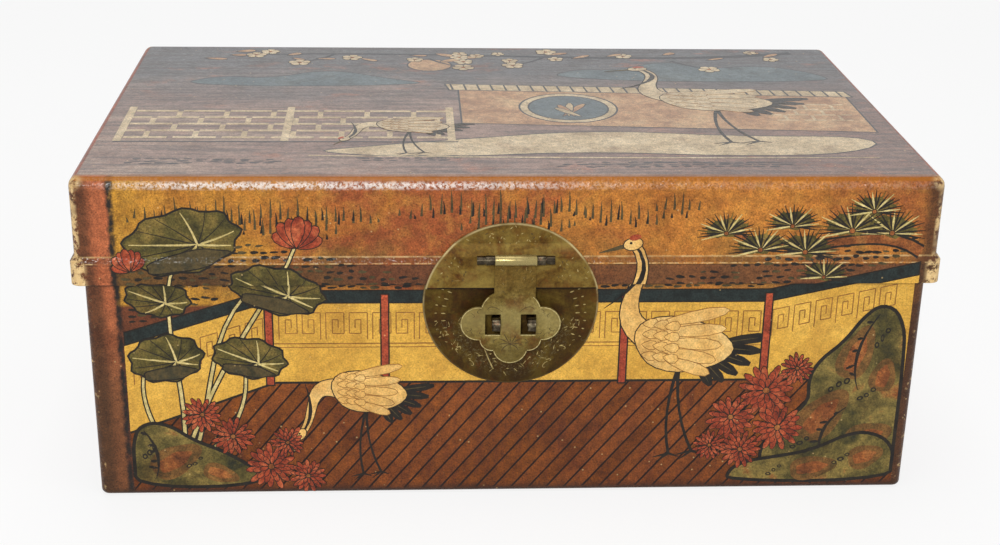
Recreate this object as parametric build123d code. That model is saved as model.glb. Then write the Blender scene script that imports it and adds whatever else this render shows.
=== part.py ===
"""Leather-covered wooden deed box with a brass lock plate, a swinging hasp and a hinged lid.

Units are millimetres.  The origin is the centre of the underside, +Z is up, the lock plate
faces -Y and +X is to the right of someone facing it.
"""
from build123d import *
import os

# ------------------------------------------------------------------ driving dimensions
# Lid and base
LID_LENGTH = 340.0            # left to right over the lid's leather, above its raised band
LID_DEPTH = 206.0             # front to back over the same leather
BOX_HEIGHT = 138.5            # underside to the top of the lid
LID_EDGE_HEIGHT = 95.2        # underside to the lid's lower edge
LID_OVERHANG = 2.85           # the lid's leather stands this far out past the base's
RIM_RISE = 4.3                # the base's rim stands this far up inside the lid's edge
RIM_GAP = 0.3                 # lid walls above the rim when shut
CORNER_ROUND = 4.2            # upright corners of the lid's leather
LID_TOP_ROUND = 4.0           # edges round the top of the lid
BASE_CORNER_ROUND = 3.6       # upright corners of the base's leather
BASE_FOOT_ROUND = 2.0         # leather rolled under the base's lower edge

# Boards and coverings
WALL = 8.0                    # base and lid walls
BOTTOM_BOARD = 7.0
TOP_BOARD = 7.0
LEATHER = 1.2
LINING = 0.3                  # pasted paper
FOOT_GAP = 0.3                # leather under the base held clear of the table
FOOT_LAP = 11.0               # width of the leather turned under the base
LINING_SHY = 0.5              # the base's lining stops this far below the rim

# Raised band round the lid's lower edge
BAND_PROUD = 1.5
BAND_HEIGHT = 9.2             # its upright face
BAND_BEVEL = 2.2              # height of the slope above that face
BAND_CLEARANCE = 0.6          # band to the base's leather

# Wooden pins
PIN_R = 1.5
PIN_LENGTH = 22.0
PIN_SINK = 0.6                # pins' ends below the wood's face
PIN_CORNER_REACH = 24.0       # last pin of a row to the middle of the next wall
LID_PIN_FOOT = 8.1            # lower ends of the lid's pins above its band
BASE_CORNER_PINS = 3          # up each corner of the base
LID_CORNER_PINS = 2
LONG_SIDE_PINS = 5            # along the front and back of a board
SHORT_SIDE_PINS = 3
STRIP_PIN_R = 0.6
STRIP_PIN_LENGTH = 6.0
STRIP_PIN_COUNT = 6           # along the front strip
STRIP_PIN_REACH = 16.0        # last strip pin to the middle of the next wall

# Lock plate, a round brass disc cut across into an upper and a lower part
PLATE_R = 35.0
PLATE_T = 1.0
PLATE_DROP = 9.5              # disc's centre below the lid's lower edge
PLATE_HANG = 1.4              # upper part hangs this far below the lid's edge
PLATE_SPLIT_GAP = 0.3         # lower part stops this far below the lid's edge
PLATE_EDGE = 0.3              # bevel round the lower part
PLATE_SLOPE = 5.0             # height over which the upper part bends back to the lid
PLATE_BEND_RISE = 0.6         # bend above the top of the band's slope

# Hasp and the rod that it swings on
HASP_T = 0.9
HASP_GAP = 0.3                # hasp to the upper plate
ROD_RISE = 11.6               # rod above the lid's lower edge
ROD_R = 1.2
ROD_RUNNING = 0.05            # radial clearance of the rod in the knuckle and eyes
ROD_HEAD_R = 1.75
ROD_HEAD_LENGTH = 3.2
NECK_X = 1.2                  # the hand-made neck stands a little right of the head
NECK_WIDTH = 16.3
HEAD_X = -0.25
HEAD_DROP = 15.9              # head's centre below the lid's lower edge
SIDE_LOBE_X = 12.75           # from the head's centre
SIDE_LOBE_R = 7.2
SHOULDER_X = 3.5
SHOULDER_RISE = 5.2
SHOULDER_R = 8.4
LOWER_LOBE_X = 7.2
LOWER_LOBE_DROP = 6.7
LOWER_LOBE_R = 5.15
TIP_DROP = 10.2
TIP_R = 7.0
SLOT_X = 7.05
SLOT_WIDTH = 6.1
SLOT_HEIGHT = 8.8
SLOT_DROP = 0.4               # slots' centre below the head's centre

# Split pins: two eyes carry the rod, two larger ones take a lock bar
ROD_EYE_T = 0.7
ROD_EYE_WIDTH = 3.2
ROD_EYE_GAP = 0.3             # eye to the hasp's knuckle
STAPLE_T = 1.1
STAPLE_WIDTH = 3.0
STAPLE_BORE_R = 1.7
STAPLE_STAND_OFF = 0.25       # bore clear of the hasp's front face
STAPLE_SHIFT = 1.15           # staples stand right of the slots' centres
STAPLE_RISE = 1.0             # bore above the slots' centre
LEG_SLIT = 0.1                # between a split pin's two legs
LEG_CLEARANCE = 0.1           # round the legs in their holes
CLINCH_LENGTH = 6.0           # each leg's spread end inside the box
KNUCKLE_SEAM = 0.2            # gap where the hasp's rolled end meets its sheet

# Hinges, two brass butt hinges on the back
HINGE_SPACING = 200.0
HINGE_WIDTH = 30.0
HINGE_LEAF_T = 0.8
HINGE_LEAF_HEIGHT = 24.0      # from the hinge's axis to a leaf's far edge
HINGE_AXIS_RISE = 0.8         # above the lid's lower edge
HINGE_RUNNING = 0.05          # radial clearance of the pin
HINGE_SIDE_GAP = 0.3          # between neighbouring knuckles
HINGE_FACE_GAP = 0.3          # knuckles to the base's leather
HINGE_NOTCH_GAP = 0.4         # band to the heads of a hinge's pin
MIDDLE_KNUCKLE = 10.0         # the lid leaf's knuckle
PIN_HEAD_R = 1.5
PIN_HEAD_T = 0.6
TACK_R = 0.6
TACK_LENGTH = 6.0             # below the leaf
TACK_HEAD_R = 1.6
TACK_HEAD_T = 0.8
TACK_HEAD_ROUND = 0.7
TACK_SIDE = 10.0              # tacks from the hinge's middle
TACK_DROP = 16.0              # row of tacks from the hinge's axis

# ------------------------------------------------------------------ planes worked out from them
LID_X = LID_LENGTH / 2                        # lid's leather
LID_Y = LID_DEPTH / 2
BASE_X = LID_X - LID_OVERHANG                 # base's leather
BASE_Y = LID_Y - LID_OVERHANG
BASE_WOOD_X = BASE_X - LEATHER
BASE_WOOD_Y = BASE_Y - LEATHER
BASE_IN_X = BASE_WOOD_X - WALL
BASE_IN_Y = BASE_WOOD_Y - WALL
LID_WOOD_X = LID_X - LEATHER
LID_WOOD_Y = LID_Y - LEATHER
LID_IN_X = LID_WOOD_X - WALL
LID_IN_Y = LID_WOOD_Y - WALL
BAND_IN_X = BASE_X + BAND_CLEARANCE
BAND_IN_Y = BASE_Y + BAND_CLEARANCE

RIM_Z = LID_EDGE_HEIGHT + RIM_RISE            # top of the leather on the base's rim
BASE_WOOD_TOP = RIM_Z - LEATHER
FOOT_LAP_TOP = FOOT_GAP + LEATHER
LID_WALL_Z = RIM_Z + RIM_GAP                  # lower edge of the lid's walls
LID_WOOD_TOP = BOX_HEIGHT - LEATHER
LID_WALL_TOP = LID_WOOD_TOP - TOP_BOARD
BAND_FACE_TOP = LID_EDGE_HEIGHT + BAND_HEIGHT
BAND_TOP = BAND_FACE_TOP + BAND_BEVEL

PLATE_Z = LID_EDGE_HEIGHT - PLATE_DROP
LOWER_PLATE_FRONT = -BASE_Y - PLATE_T
UPPER_PLATE_BACK = -LID_Y - BAND_PROUD
UPPER_PLATE_FRONT = UPPER_PLATE_BACK - PLATE_T
HASP_BACK = UPPER_PLATE_FRONT - HASP_GAP
HASP_FRONT = HASP_BACK - HASP_T
ROD_BORE_R = ROD_R + ROD_RUNNING
HASP_KNUCKLE_R = ROD_BORE_R + HASP_T
ROD_Y = HASP_BACK - HASP_KNUCKLE_R
ROD_Z = LID_EDGE_HEIGHT + ROD_RISE
HEAD_Z = LID_EDGE_HEIGHT - HEAD_DROP
SLOT_Z = HEAD_Z - SLOT_DROP
STAPLE_Y = HASP_FRONT - STAPLE_STAND_OFF - STAPLE_BORE_R
STAPLE_Z = SLOT_Z + STAPLE_RISE

KNUCKLE_R = (LID_OVERHANG + HINGE_LEAF_T - HINGE_FACE_GAP) / 2
HINGE_BORE_R = KNUCKLE_R - HINGE_LEAF_T
HINGE_PIN_R = HINGE_BORE_R - HINGE_RUNNING
HINGE_Y = BASE_Y + HINGE_FACE_GAP + KNUCKLE_R
HINGE_Z = LID_EDGE_HEIGHT + HINGE_AXIS_RISE
HINGE_XS = {"left": -HINGE_SPACING / 2, "right": HINGE_SPACING / 2}
NOTCH_WIDTH = HINGE_WIDTH + 2 * (PIN_HEAD_T + HINGE_NOTCH_GAP)
LEAF_CLEAR = KNUCKLE_R + HINGE_SIDE_GAP       # a leaf's edge from the axis, past the other's knuckles

PAST = 5.0                                    # how far a cutting tool runs past what it cuts

# ------------------------------------------------------------------ shape helpers


def slab(x_low, x_high, y_low, y_high, z_low, z_high):
    """Box between two corners."""
    middle = Pos((x_low + x_high) / 2, (y_low + y_high) / 2, (z_low + z_high) / 2)
    return middle * Box(x_high - x_low, y_high - y_low, z_high - z_low)


def rod_x(x_low, x_high, y, z, radius):
    """Round bar along X."""
    return Pos((x_low + x_high) / 2, y, z) * Rot(0, 90, 0) * Cylinder(radius, x_high - x_low)


def rod_y(x, y_low, y_high, z, radius):
    """Round bar along Y."""
    return Pos(x, (y_low + y_high) / 2, z) * Rot(90, 0, 0) * Cylinder(radius, y_high - y_low)


def rod_z(x, y, z_low, z_high, radius):
    """Round bar along Z."""
    return Pos(x, y, (z_low + z_high) / 2) * Cylinder(radius, z_high - z_low)


def upright_block(half_x, half_y, z_low, z_high, corner):
    """Block centred on the box, with rounded upright corners."""
    outline = Pos(0, 0, z_low) * RectangleRounded(2 * half_x, 2 * half_y, corner)
    return extrude(outline, z_high - z_low)


def spread(count, half_span):
    """Evenly spaced places from -half_span to half_span."""
    return [half_span * (2 * i / (count - 1) - 1) for i in range(count)]


def joined(solids):
    """Union of a list of solids."""
    whole = solids[0]
    for solid in solids[1:]:
        whole = whole + solid
    return whole


def write(name, shape):
    """One file for each piece, named after it; a group keeps its separate solids."""
    shape.label = name
    export_step(shape, f"parts/{name}.step")


# ------------------------------------------------------------------ split pins
def split_pin(x, eye_y, z, bore_r, thickness, width, inside_y):
    """Strip bent round an eye, its two legs run through the wall and spread inside the box."""
    left = x - width / 2
    right = x + width / 2
    outer_r = bore_r + thickness
    leg_z = LEG_SLIT / 2 + thickness
    end_y = inside_y + thickness
    clinch_z = LEG_SLIT / 2 + CLINCH_LENGTH
    eye = rod_x(left, right, eye_y, z, outer_r)
    legs = slab(left, right, eye_y, end_y, z - leg_z, z + leg_z)
    spread_ends = slab(left, right, inside_y, end_y, z - clinch_z, z + clinch_z)
    slit = slab(left - PAST, right + PAST, eye_y, end_y + PAST, z - LEG_SLIT / 2, z + LEG_SLIT / 2)
    return eye + legs + spread_ends - slit - rod_x(left - PAST, right + PAST, eye_y, z, bore_r)


def leg_hole(x, y_low, y_high, z, thickness, width):
    """Hole for a split pin's two legs."""
    half_x = width / 2 + LEG_CLEARANCE
    half_z = LEG_SLIT / 2 + thickness + LEG_CLEARANCE
    return slab(x - half_x, x + half_x, y_low, y_high, z - half_z, z + half_z)


NECK_LEFT = NECK_X - NECK_WIDTH / 2
NECK_RIGHT = NECK_X + NECK_WIDTH / 2
EYE_REACH = NECK_WIDTH / 2 + ROD_EYE_GAP + ROD_EYE_WIDTH / 2
EYE_XS = {"left": NECK_X - EYE_REACH, "right": NECK_X + EYE_REACH}
STAPLE_XS = {"left": HEAD_X - SLOT_X + STAPLE_SHIFT, "right": HEAD_X + SLOT_X + STAPLE_SHIFT}
STAPLE_HOLES = joined([
    leg_hole(x, STAPLE_Y, -BASE_IN_Y + PAST, STAPLE_Z, STAPLE_T, STAPLE_WIDTH)
    for x in STAPLE_XS.values()
])
EYE_HOLES = joined([
    leg_hole(x, ROD_Y, -LID_IN_Y + PAST, ROD_Z, ROD_EYE_T, ROD_EYE_WIDTH)
    for x in EYE_XS.values()
])

# ------------------------------------------------------------------ hinge tacks
TACK_ROWS = [(-TACK_SIDE, TACK_DROP), (0, TACK_DROP), (TACK_SIDE, TACK_DROP)]


def tacks(head_y, side):
    """Round-headed tacks of both hinges' leaves; side is 1 for the lid's and -1 for the base's."""
    found = []
    for hinge_x in HINGE_XS.values():
        for offset, drop in TACK_ROWS:
            x = hinge_x + offset
            z = HINGE_Z + side * drop
            shank = rod_y(x, head_y - HINGE_LEAF_T - TACK_LENGTH, head_y, z, TACK_R)
            head = rod_y(x, head_y, head_y + TACK_HEAD_T, z, TACK_HEAD_R)
            rim = head.edges().filter_by(GeomType.CIRCLE).sort_by(Axis.Y)[-1]
            found.append(shank + fillet(rim, TACK_HEAD_ROUND))
    return found


BASE_TACKS = tacks(BASE_Y + HINGE_LEAF_T, -1)
LID_TACKS = tacks(LID_Y + HINGE_LEAF_T, 1)

# ------------------------------------------------------------------ base: wooden boards
base_envelope = upright_block(
    BASE_WOOD_X, BASE_WOOD_Y, FOOT_LAP_TOP, BASE_WOOD_TOP, BASE_CORNER_ROUND - LEATHER)
envelope_foot = base_envelope.faces().sort_by(Axis.Z)[0].edges()
base_envelope = fillet(envelope_foot, BASE_FOOT_ROUND - LEATHER)

foot_x = BASE_X - FOOT_LAP
foot_y = BASE_Y - FOOT_LAP
foot_pad = slab(-foot_x, foot_x, -foot_y, foot_y, 0, BOTTOM_BOARD)


def corner_pins(half_x, half_y, z_low, z_high, count):
    """Pins through the front and back boards into the ends of the side boards."""
    step = (z_high - z_low) / count
    outer = half_y - PIN_SINK
    inner = outer - PIN_LENGTH
    return [
        rod_y(x, y_low, y_high, z_low + (i + 0.5) * step, PIN_R)
        for x in (-half_x, half_x)
        for y_low, y_high in ((-outer, -inner), (inner, outer))
        for i in range(count)
    ]


def board_pins(half_x, half_y, z_low, z_high):
    """Pins through the bottom or top board into the walls."""
    long_reach = half_x - PIN_CORNER_REACH
    short_reach = half_y - PIN_CORNER_REACH
    long_pins = [
        rod_z(x, y, z_low, z_high, PIN_R)
        for x in spread(LONG_SIDE_PINS, long_reach)
        for y in (-half_y, half_y)
    ]
    short_pins = [
        rod_z(x, y, z_low, z_high, PIN_R)
        for x in (-half_x, half_x)
        for y in spread(SHORT_SIDE_PINS, short_reach)
    ]
    return long_pins + short_pins


BASE_WALL_X = BASE_WOOD_X - WALL / 2          # middle of the side boards
BASE_WALL_Y = BASE_WOOD_Y - WALL / 2
base_corner_pins = corner_pins(
    BASE_WALL_X, BASE_WOOD_Y, BOTTOM_BOARD, BASE_WOOD_TOP, BASE_CORNER_PINS)
base_floor_pins = board_pins(
    BASE_WALL_X, BASE_WALL_Y, FOOT_LAP_TOP + PIN_SINK, FOOT_LAP_TOP + PIN_SINK + PIN_LENGTH)
base_holes = joined(base_corner_pins + base_floor_pins + BASE_TACKS)

bottom_zone = slab(-LID_X, LID_X, -LID_Y, LID_Y, 0, BOTTOM_BOARD)
front_zone = slab(-LID_X, LID_X, -LID_Y, -BASE_IN_Y, BOTTOM_BOARD, BOX_HEIGHT)
back_zone = slab(-LID_X, LID_X, BASE_IN_Y, LID_Y, BOTTOM_BOARD, BOX_HEIGHT)
left_zone = slab(-LID_X, -BASE_IN_X, -BASE_IN_Y, BASE_IN_Y, BOTTOM_BOARD, BOX_HEIGHT)
right_zone = slab(BASE_IN_X, LID_X, -BASE_IN_Y, BASE_IN_Y, BOTTOM_BOARD, BOX_HEIGHT)

base_bottom_board = (base_envelope & bottom_zone) + foot_pad - base_holes
base_front_board = (base_envelope & front_zone) - base_holes - STAPLE_HOLES
base_back_board = (base_envelope & back_zone) - base_holes
base_left_end_board = (base_envelope & left_zone) - base_holes
base_right_end_board = (base_envelope & right_zone) - base_holes

# ------------------------------------------------------------------ base: leather and lining
base_skin = upright_block(BASE_X, BASE_Y, FOOT_GAP, RIM_Z, BASE_CORNER_ROUND)
skin_foot = base_skin.faces().sort_by(Axis.Z)[0].edges()
base_skin = fillet(skin_foot, BASE_FOOT_ROUND)
base_leather_cover = (
    base_skin
    - base_envelope
    - slab(-BASE_IN_X, BASE_IN_X, -BASE_IN_Y, BASE_IN_Y, BOTTOM_BOARD, BOX_HEIGHT)
    - foot_pad
    - STAPLE_HOLES
    - joined(BASE_TACKS)
)

lined_x = BASE_IN_X - LINING
lined_y = BASE_IN_Y - LINING
lining_top = RIM_Z - LINING_SHY
base_wall_lining = (
    slab(-BASE_IN_X, BASE_IN_X, -BASE_IN_Y, BASE_IN_Y, BOTTOM_BOARD, lining_top)
    - slab(-lined_x, lined_x, -lined_y, lined_y, BOTTOM_BOARD - PAST, lining_top + PAST)
    - STAPLE_HOLES
)
base_floor_lining = slab(-lined_x, lined_x, -lined_y, lined_y, BOTTOM_BOARD, BOTTOM_BOARD + LINING)

# ------------------------------------------------------------------ lid: wood, band and leather


def notched(shape):
    """Cut the band away over each hinge."""
    for x in HINGE_XS.values():
        shape = shape - slab(x - NOTCH_WIDTH / 2, x + NOTCH_WIDTH / 2, BAND_IN_Y - PAST,
                             LID_Y + PAST, LID_EDGE_HEIGHT - PAST, BAND_TOP + PAST)
    return shape


def lid_block(inset):
    """The lid above its walls' lower edge, inset from the leather's outside."""
    block = upright_block(LID_X - inset, LID_Y - inset, LID_WALL_Z, BOX_HEIGHT - inset,
                          CORNER_ROUND - inset)
    return fillet(block.faces().sort_by(Axis.Z)[-1].edges(), LID_TOP_ROUND - inset)


def band_ring(inset):
    """The raised band: an upright face with a slope above it, open round the base."""
    slope_length = (BAND_BEVEL**2 + BAND_PROUD**2) ** 0.5
    drop = inset * (slope_length - BAND_BEVEL) / BAND_PROUD
    proud_x = LID_X + BAND_PROUD - inset
    proud_y = LID_Y + BAND_PROUD - inset
    corner = CORNER_ROUND - inset
    face_top = BAND_FACE_TOP - drop
    face = upright_block(proud_x, proud_y, LID_EDGE_HEIGHT + inset, face_top, corner)
    lower = Pos(0, 0, face_top) * RectangleRounded(2 * proud_x, 2 * proud_y, corner)
    upper = Pos(0, 0, BAND_TOP - drop) * RectangleRounded(
        2 * (LID_X - inset), 2 * (LID_Y - inset), corner)
    slope = loft([lower, upper], ruled=True)
    inside = slab(-BAND_IN_X, BAND_IN_X, -BAND_IN_Y, BAND_IN_Y, LID_EDGE_HEIGHT - PAST, BOX_HEIGHT)
    return notched(face + slope - inside)


lid_wood = lid_block(LEATHER)
band_wood = band_ring(LEATHER)

LID_WALL_X = LID_WOOD_X - WALL / 2            # middle of the side rails
LID_WALL_Y = LID_WOOD_Y - WALL / 2
lid_corner_pins = corner_pins(LID_WALL_X, LID_WOOD_Y, BAND_TOP, LID_WALL_TOP, LID_CORNER_PINS)
lid_top_pins = board_pins(
    LID_WALL_X, LID_WALL_Y, BAND_TOP + LID_PIN_FOOT, LID_WOOD_TOP - PIN_SINK)

strip_out_x = LID_X + BAND_PROUD - LEATHER
strip_out_y = LID_Y + BAND_PROUD - LEATHER
strip_pin_z = (LID_WALL_Z + BAND_FACE_TOP) / 2
front_pin_reach = LID_WALL_X - STRIP_PIN_REACH
side_pin_reach = LID_WALL_Y - STRIP_PIN_REACH
outer_piece_x = (HINGE_SPACING / 2 + NOTCH_WIDTH / 2 + LID_X) / 2
back_pin_xs = [-outer_piece_x, -HINGE_SPACING / 4, HINGE_SPACING / 4, outer_piece_x]
lap_strip_pins = (
    [rod_y(x, -strip_out_y, STRIP_PIN_LENGTH - strip_out_y, strip_pin_z, STRIP_PIN_R)
     for x in spread(STRIP_PIN_COUNT, front_pin_reach)]
    + [rod_y(x, strip_out_y - STRIP_PIN_LENGTH, strip_out_y, strip_pin_z, STRIP_PIN_R)
       for x in back_pin_xs]
    + [rod_x(-strip_out_x, STRIP_PIN_LENGTH - strip_out_x, y, strip_pin_z, STRIP_PIN_R)
       for y in spread(SHORT_SIDE_PINS, side_pin_reach)]
    + [rod_x(strip_out_x - STRIP_PIN_LENGTH, strip_out_x, y, strip_pin_z, STRIP_PIN_R)
       for y in spread(SHORT_SIDE_PINS, side_pin_reach)]
)
lid_holes = joined(lid_corner_pins + lid_top_pins + lap_strip_pins + LID_TACKS)

lid_top_zone = slab(-LID_X, LID_X, -LID_Y, LID_Y, LID_WALL_TOP, BOX_HEIGHT)
lid_front_zone = slab(-LID_X, LID_X, -LID_Y, -LID_IN_Y, LID_EDGE_HEIGHT, LID_WALL_TOP)
lid_back_zone = slab(-LID_X, LID_X, LID_IN_Y, LID_Y, LID_EDGE_HEIGHT, LID_WALL_TOP)
lid_left_zone = slab(-LID_X, -LID_IN_X, -LID_IN_Y, LID_IN_Y, LID_EDGE_HEIGHT, LID_WALL_TOP)
lid_right_zone = slab(LID_IN_X, LID_X, -LID_IN_Y, LID_IN_Y, LID_EDGE_HEIGHT, LID_WALL_TOP)

lid_top_board = (lid_wood & lid_top_zone) - lid_holes
lid_front_rail = (lid_wood & lid_front_zone) - band_wood - lid_holes - EYE_HOLES
lid_back_rail = (lid_wood & lid_back_zone) - band_wood - lid_holes
lid_left_rail = (lid_wood & lid_left_zone) - band_wood - lid_holes
lid_right_rail = (lid_wood & lid_right_zone) - band_wood - lid_holes

band_far_x = LID_X + BAND_PROUD
band_far_y = LID_Y + BAND_PROUD
inner_hinge_x = HINGE_SPACING / 2


def strip_piece(x_low, x_high, y_low, y_high):
    """One lap strip, cut from the wooden core of the band."""
    zone = slab(x_low, x_high, y_low, y_high, LID_EDGE_HEIGHT, BAND_TOP)
    return (band_wood & zone) - lid_holes - EYE_HOLES


front_lap_strip = strip_piece(-band_far_x, band_far_x, -band_far_y, -BAND_IN_Y)
left_lap_strip = strip_piece(-band_far_x, -BAND_IN_X, -BAND_IN_Y, BAND_IN_Y)
right_lap_strip = strip_piece(BAND_IN_X, band_far_x, -BAND_IN_Y, BAND_IN_Y)
back_left_lap_strip = strip_piece(-band_far_x, -inner_hinge_x, BAND_IN_Y, band_far_y)
back_middle_lap_strip = strip_piece(-inner_hinge_x, inner_hinge_x, BAND_IN_Y, band_far_y)
back_right_lap_strip = strip_piece(inner_hinge_x, band_far_x, BAND_IN_Y, band_far_y)

lid_leather_cover = (
    lid_block(0) + band_ring(0) - lid_wood - band_wood - EYE_HOLES - joined(LID_TACKS)
)
lid_lined_x = LID_IN_X - LINING
lid_lined_y = LID_IN_Y - LINING
lid_lining = (
    slab(-LID_IN_X, LID_IN_X, -LID_IN_Y, LID_IN_Y, LID_WALL_Z, LID_WALL_TOP)
    - slab(-lid_lined_x, lid_lined_x, -lid_lined_y, lid_lined_y, LID_WALL_Z - PAST,
           LID_WALL_TOP - LINING)
    - EYE_HOLES
)

# ------------------------------------------------------------------ lock plate
plate_disc = rod_y(0, UPPER_PLATE_FRONT - PAST, PAST - BASE_Y, PLATE_Z, PLATE_R)

lower_disc = rod_y(0, LOWER_PLATE_FRONT, -BASE_Y, PLATE_Z, PLATE_R)
lower_rim = lower_disc.edges().filter_by(GeomType.CIRCLE).sort_by(Axis.Y)[0]
lower_disc = chamfer(lower_rim, PLATE_EDGE)
above_split = slab(-LID_X, LID_X, -LID_Y - PAST, 0, LID_EDGE_HEIGHT - PLATE_SPLIT_GAP, BOX_HEIGHT)
lower_lock_plate = lower_disc - above_split - STAPLE_HOLES

bend_low_z = BAND_TOP + PLATE_BEND_RISE
bend_high_z = bend_low_z + PLATE_SLOPE
plate_top = PLATE_Z + PLATE_R + PAST
bend_run = (PLATE_SLOPE**2 + BAND_PROUD**2) ** 0.5
bend_shift = PLATE_T * (bend_run - PLATE_SLOPE) / BAND_PROUD
plate_section = [
    (UPPER_PLATE_BACK, LID_EDGE_HEIGHT - PLATE_HANG),
    (UPPER_PLATE_BACK, bend_low_z),
    (-LID_Y, bend_high_z),
    (-LID_Y, plate_top),
    (-LID_Y - PLATE_T, plate_top),
    (-LID_Y - PLATE_T, bend_high_z + bend_shift),
    (UPPER_PLATE_FRONT, bend_low_z + bend_shift),
    (UPPER_PLATE_FRONT, LID_EDGE_HEIGHT - PLATE_HANG),
]
plate_face = make_face(Polyline([(-PLATE_R, y, z) for y, z in plate_section], close=True))
bent_sheet = extrude(plate_face, amount=2 * PLATE_R, dir=(1, 0, 0))
upper_lock_plate = (bent_sheet & plate_disc) - EYE_HOLES

# ------------------------------------------------------------------ hasp and its rod
lobe_centres = [
    (SIDE_LOBE_X, 0, SIDE_LOBE_R),
    (SHOULDER_X, SHOULDER_RISE, SHOULDER_R),
    (LOWER_LOBE_X, -LOWER_LOBE_DROP, LOWER_LOBE_R),
]
lobes = [
    rod_y(HEAD_X + side * x, HASP_FRONT, HASP_BACK, HEAD_Z + rise, radius)
    for x, rise, radius in lobe_centres
    for side in (-1, 1)
]
tip = rod_y(HEAD_X, HASP_FRONT, HASP_BACK, HEAD_Z - TIP_DROP, TIP_R)
shoulder_z = HEAD_Z + SHOULDER_RISE
lower_lobe_z = HEAD_Z - LOWER_LOBE_DROP
head_middle = slab(HEAD_X - SIDE_LOBE_X, HEAD_X + SIDE_LOBE_X, HASP_FRONT, HASP_BACK,
                   lower_lobe_z, shoulder_z)
head_bottom = slab(HEAD_X - LOWER_LOBE_X, HEAD_X + LOWER_LOBE_X, HASP_FRONT, HASP_BACK,
                   HEAD_Z - TIP_DROP, lower_lobe_z)
neck_sheet = slab(NECK_LEFT, NECK_RIGHT, HASP_FRONT, HASP_BACK, shoulder_z, ROD_Z)
hasp_knuckle = rod_x(NECK_LEFT, NECK_RIGHT, ROD_Y, ROD_Z, HASP_KNUCKLE_R)
knuckle_bore = rod_x(NECK_LEFT - PAST, NECK_RIGHT + PAST, ROD_Y, ROD_Z, ROD_BORE_R)
knuckle_seam = slab(NECK_LEFT - PAST, NECK_RIGHT + PAST, HASP_FRONT - KNUCKLE_SEAM, HASP_FRONT,
                    ROD_Z - HASP_KNUCKLE_R, ROD_Z)
hasp = joined(lobes + [tip, head_middle, head_bottom, neck_sheet, hasp_knuckle])
hasp = hasp - knuckle_bore - knuckle_seam
for slot_x in (HEAD_X - SLOT_X, HEAD_X + SLOT_X):
    hasp = hasp - slab(slot_x - SLOT_WIDTH / 2, slot_x + SLOT_WIDTH / 2, HASP_FRONT - PAST,
                       HASP_BACK + PAST, SLOT_Z - SLOT_HEIGHT / 2, SLOT_Z + SLOT_HEIGHT / 2)

head_inner = EYE_REACH + ROD_EYE_WIDTH / 2 + ROD_EYE_GAP
rod_reach = head_inner + ROD_HEAD_LENGTH
hasp_rod = (
    rod_x(NECK_X - rod_reach, NECK_X + rod_reach, ROD_Y, ROD_Z, ROD_R)
    + rod_x(NECK_X - rod_reach, NECK_X - head_inner, ROD_Y, ROD_Z, ROD_HEAD_R)
    + rod_x(NECK_X + head_inner, NECK_X + rod_reach, ROD_Y, ROD_Z, ROD_HEAD_R)
)


# ------------------------------------------------------------------ hinges
def knuckle(x_low, x_high):
    """Outside of one hinge knuckle."""
    return rod_x(x_low, x_high, HINGE_Y, HINGE_Z, KNUCKLE_R)


def hinge_parts(x):
    """Base leaf, lid leaf and headed pin of one hinge."""
    left = x - HINGE_WIDTH / 2
    right = x + HINGE_WIDTH / 2
    middle_left = x - MIDDLE_KNUCKLE / 2
    middle_right = x + MIDDLE_KNUCKLE / 2
    bore = rod_x(left - PAST, right + PAST, HINGE_Y, HINGE_Z, HINGE_BORE_R)

    base_sheet = slab(left, right, BASE_Y, BASE_Y + HINGE_LEAF_T,
                      HINGE_Z - HINGE_LEAF_HEIGHT, HINGE_Z)
    gap_left = middle_left - HINGE_SIDE_GAP
    gap_right = middle_right + HINGE_SIDE_GAP
    base_gap = slab(gap_left, gap_right, BASE_Y - PAST, LID_Y + PAST, HINGE_Z - LEAF_CLEAR,
                    HINGE_Z + PAST)
    base_leaf = base_sheet - base_gap + knuckle(left, gap_left) + knuckle(gap_right, right) - bore

    lid_sheet = slab(left, right, LID_Y, LID_Y + HINGE_LEAF_T,
                     HINGE_Z + LEAF_CLEAR, HINGE_Z + HINGE_LEAF_HEIGHT)
    lid_tongue = slab(middle_left, middle_right, LID_Y, LID_Y + HINGE_LEAF_T,
                      HINGE_Z, HINGE_Z + LEAF_CLEAR)
    lid_leaf = lid_sheet + lid_tongue + knuckle(middle_left, middle_right) - bore

    pin = (
        rod_x(left, right, HINGE_Y, HINGE_Z, HINGE_PIN_R)
        + rod_x(left - PIN_HEAD_T, left, HINGE_Y, HINGE_Z, PIN_HEAD_R)
        + rod_x(right, right + PIN_HEAD_T, HINGE_Y, HINGE_Z, PIN_HEAD_R)
    )
    return base_leaf - joined(BASE_TACKS), lid_leaf - joined(LID_TACKS), pin


# ------------------------------------------------------------------ files
os.makedirs("parts", exist_ok=True)

write("base_bottom_board", base_bottom_board)
write("base_front_board", base_front_board)
write("base_back_board", base_back_board)
write("base_left_end_board", base_left_end_board)
write("base_right_end_board", base_right_end_board)
write("base_leather_cover", base_leather_cover)
write("base_wall_lining", base_wall_lining)
write("base_floor_lining", base_floor_lining)
write("base_corner_pins", Compound(base_corner_pins))
write("base_floor_pins", Compound(base_floor_pins))
write("base_hinge_tacks", Compound(BASE_TACKS))

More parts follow.
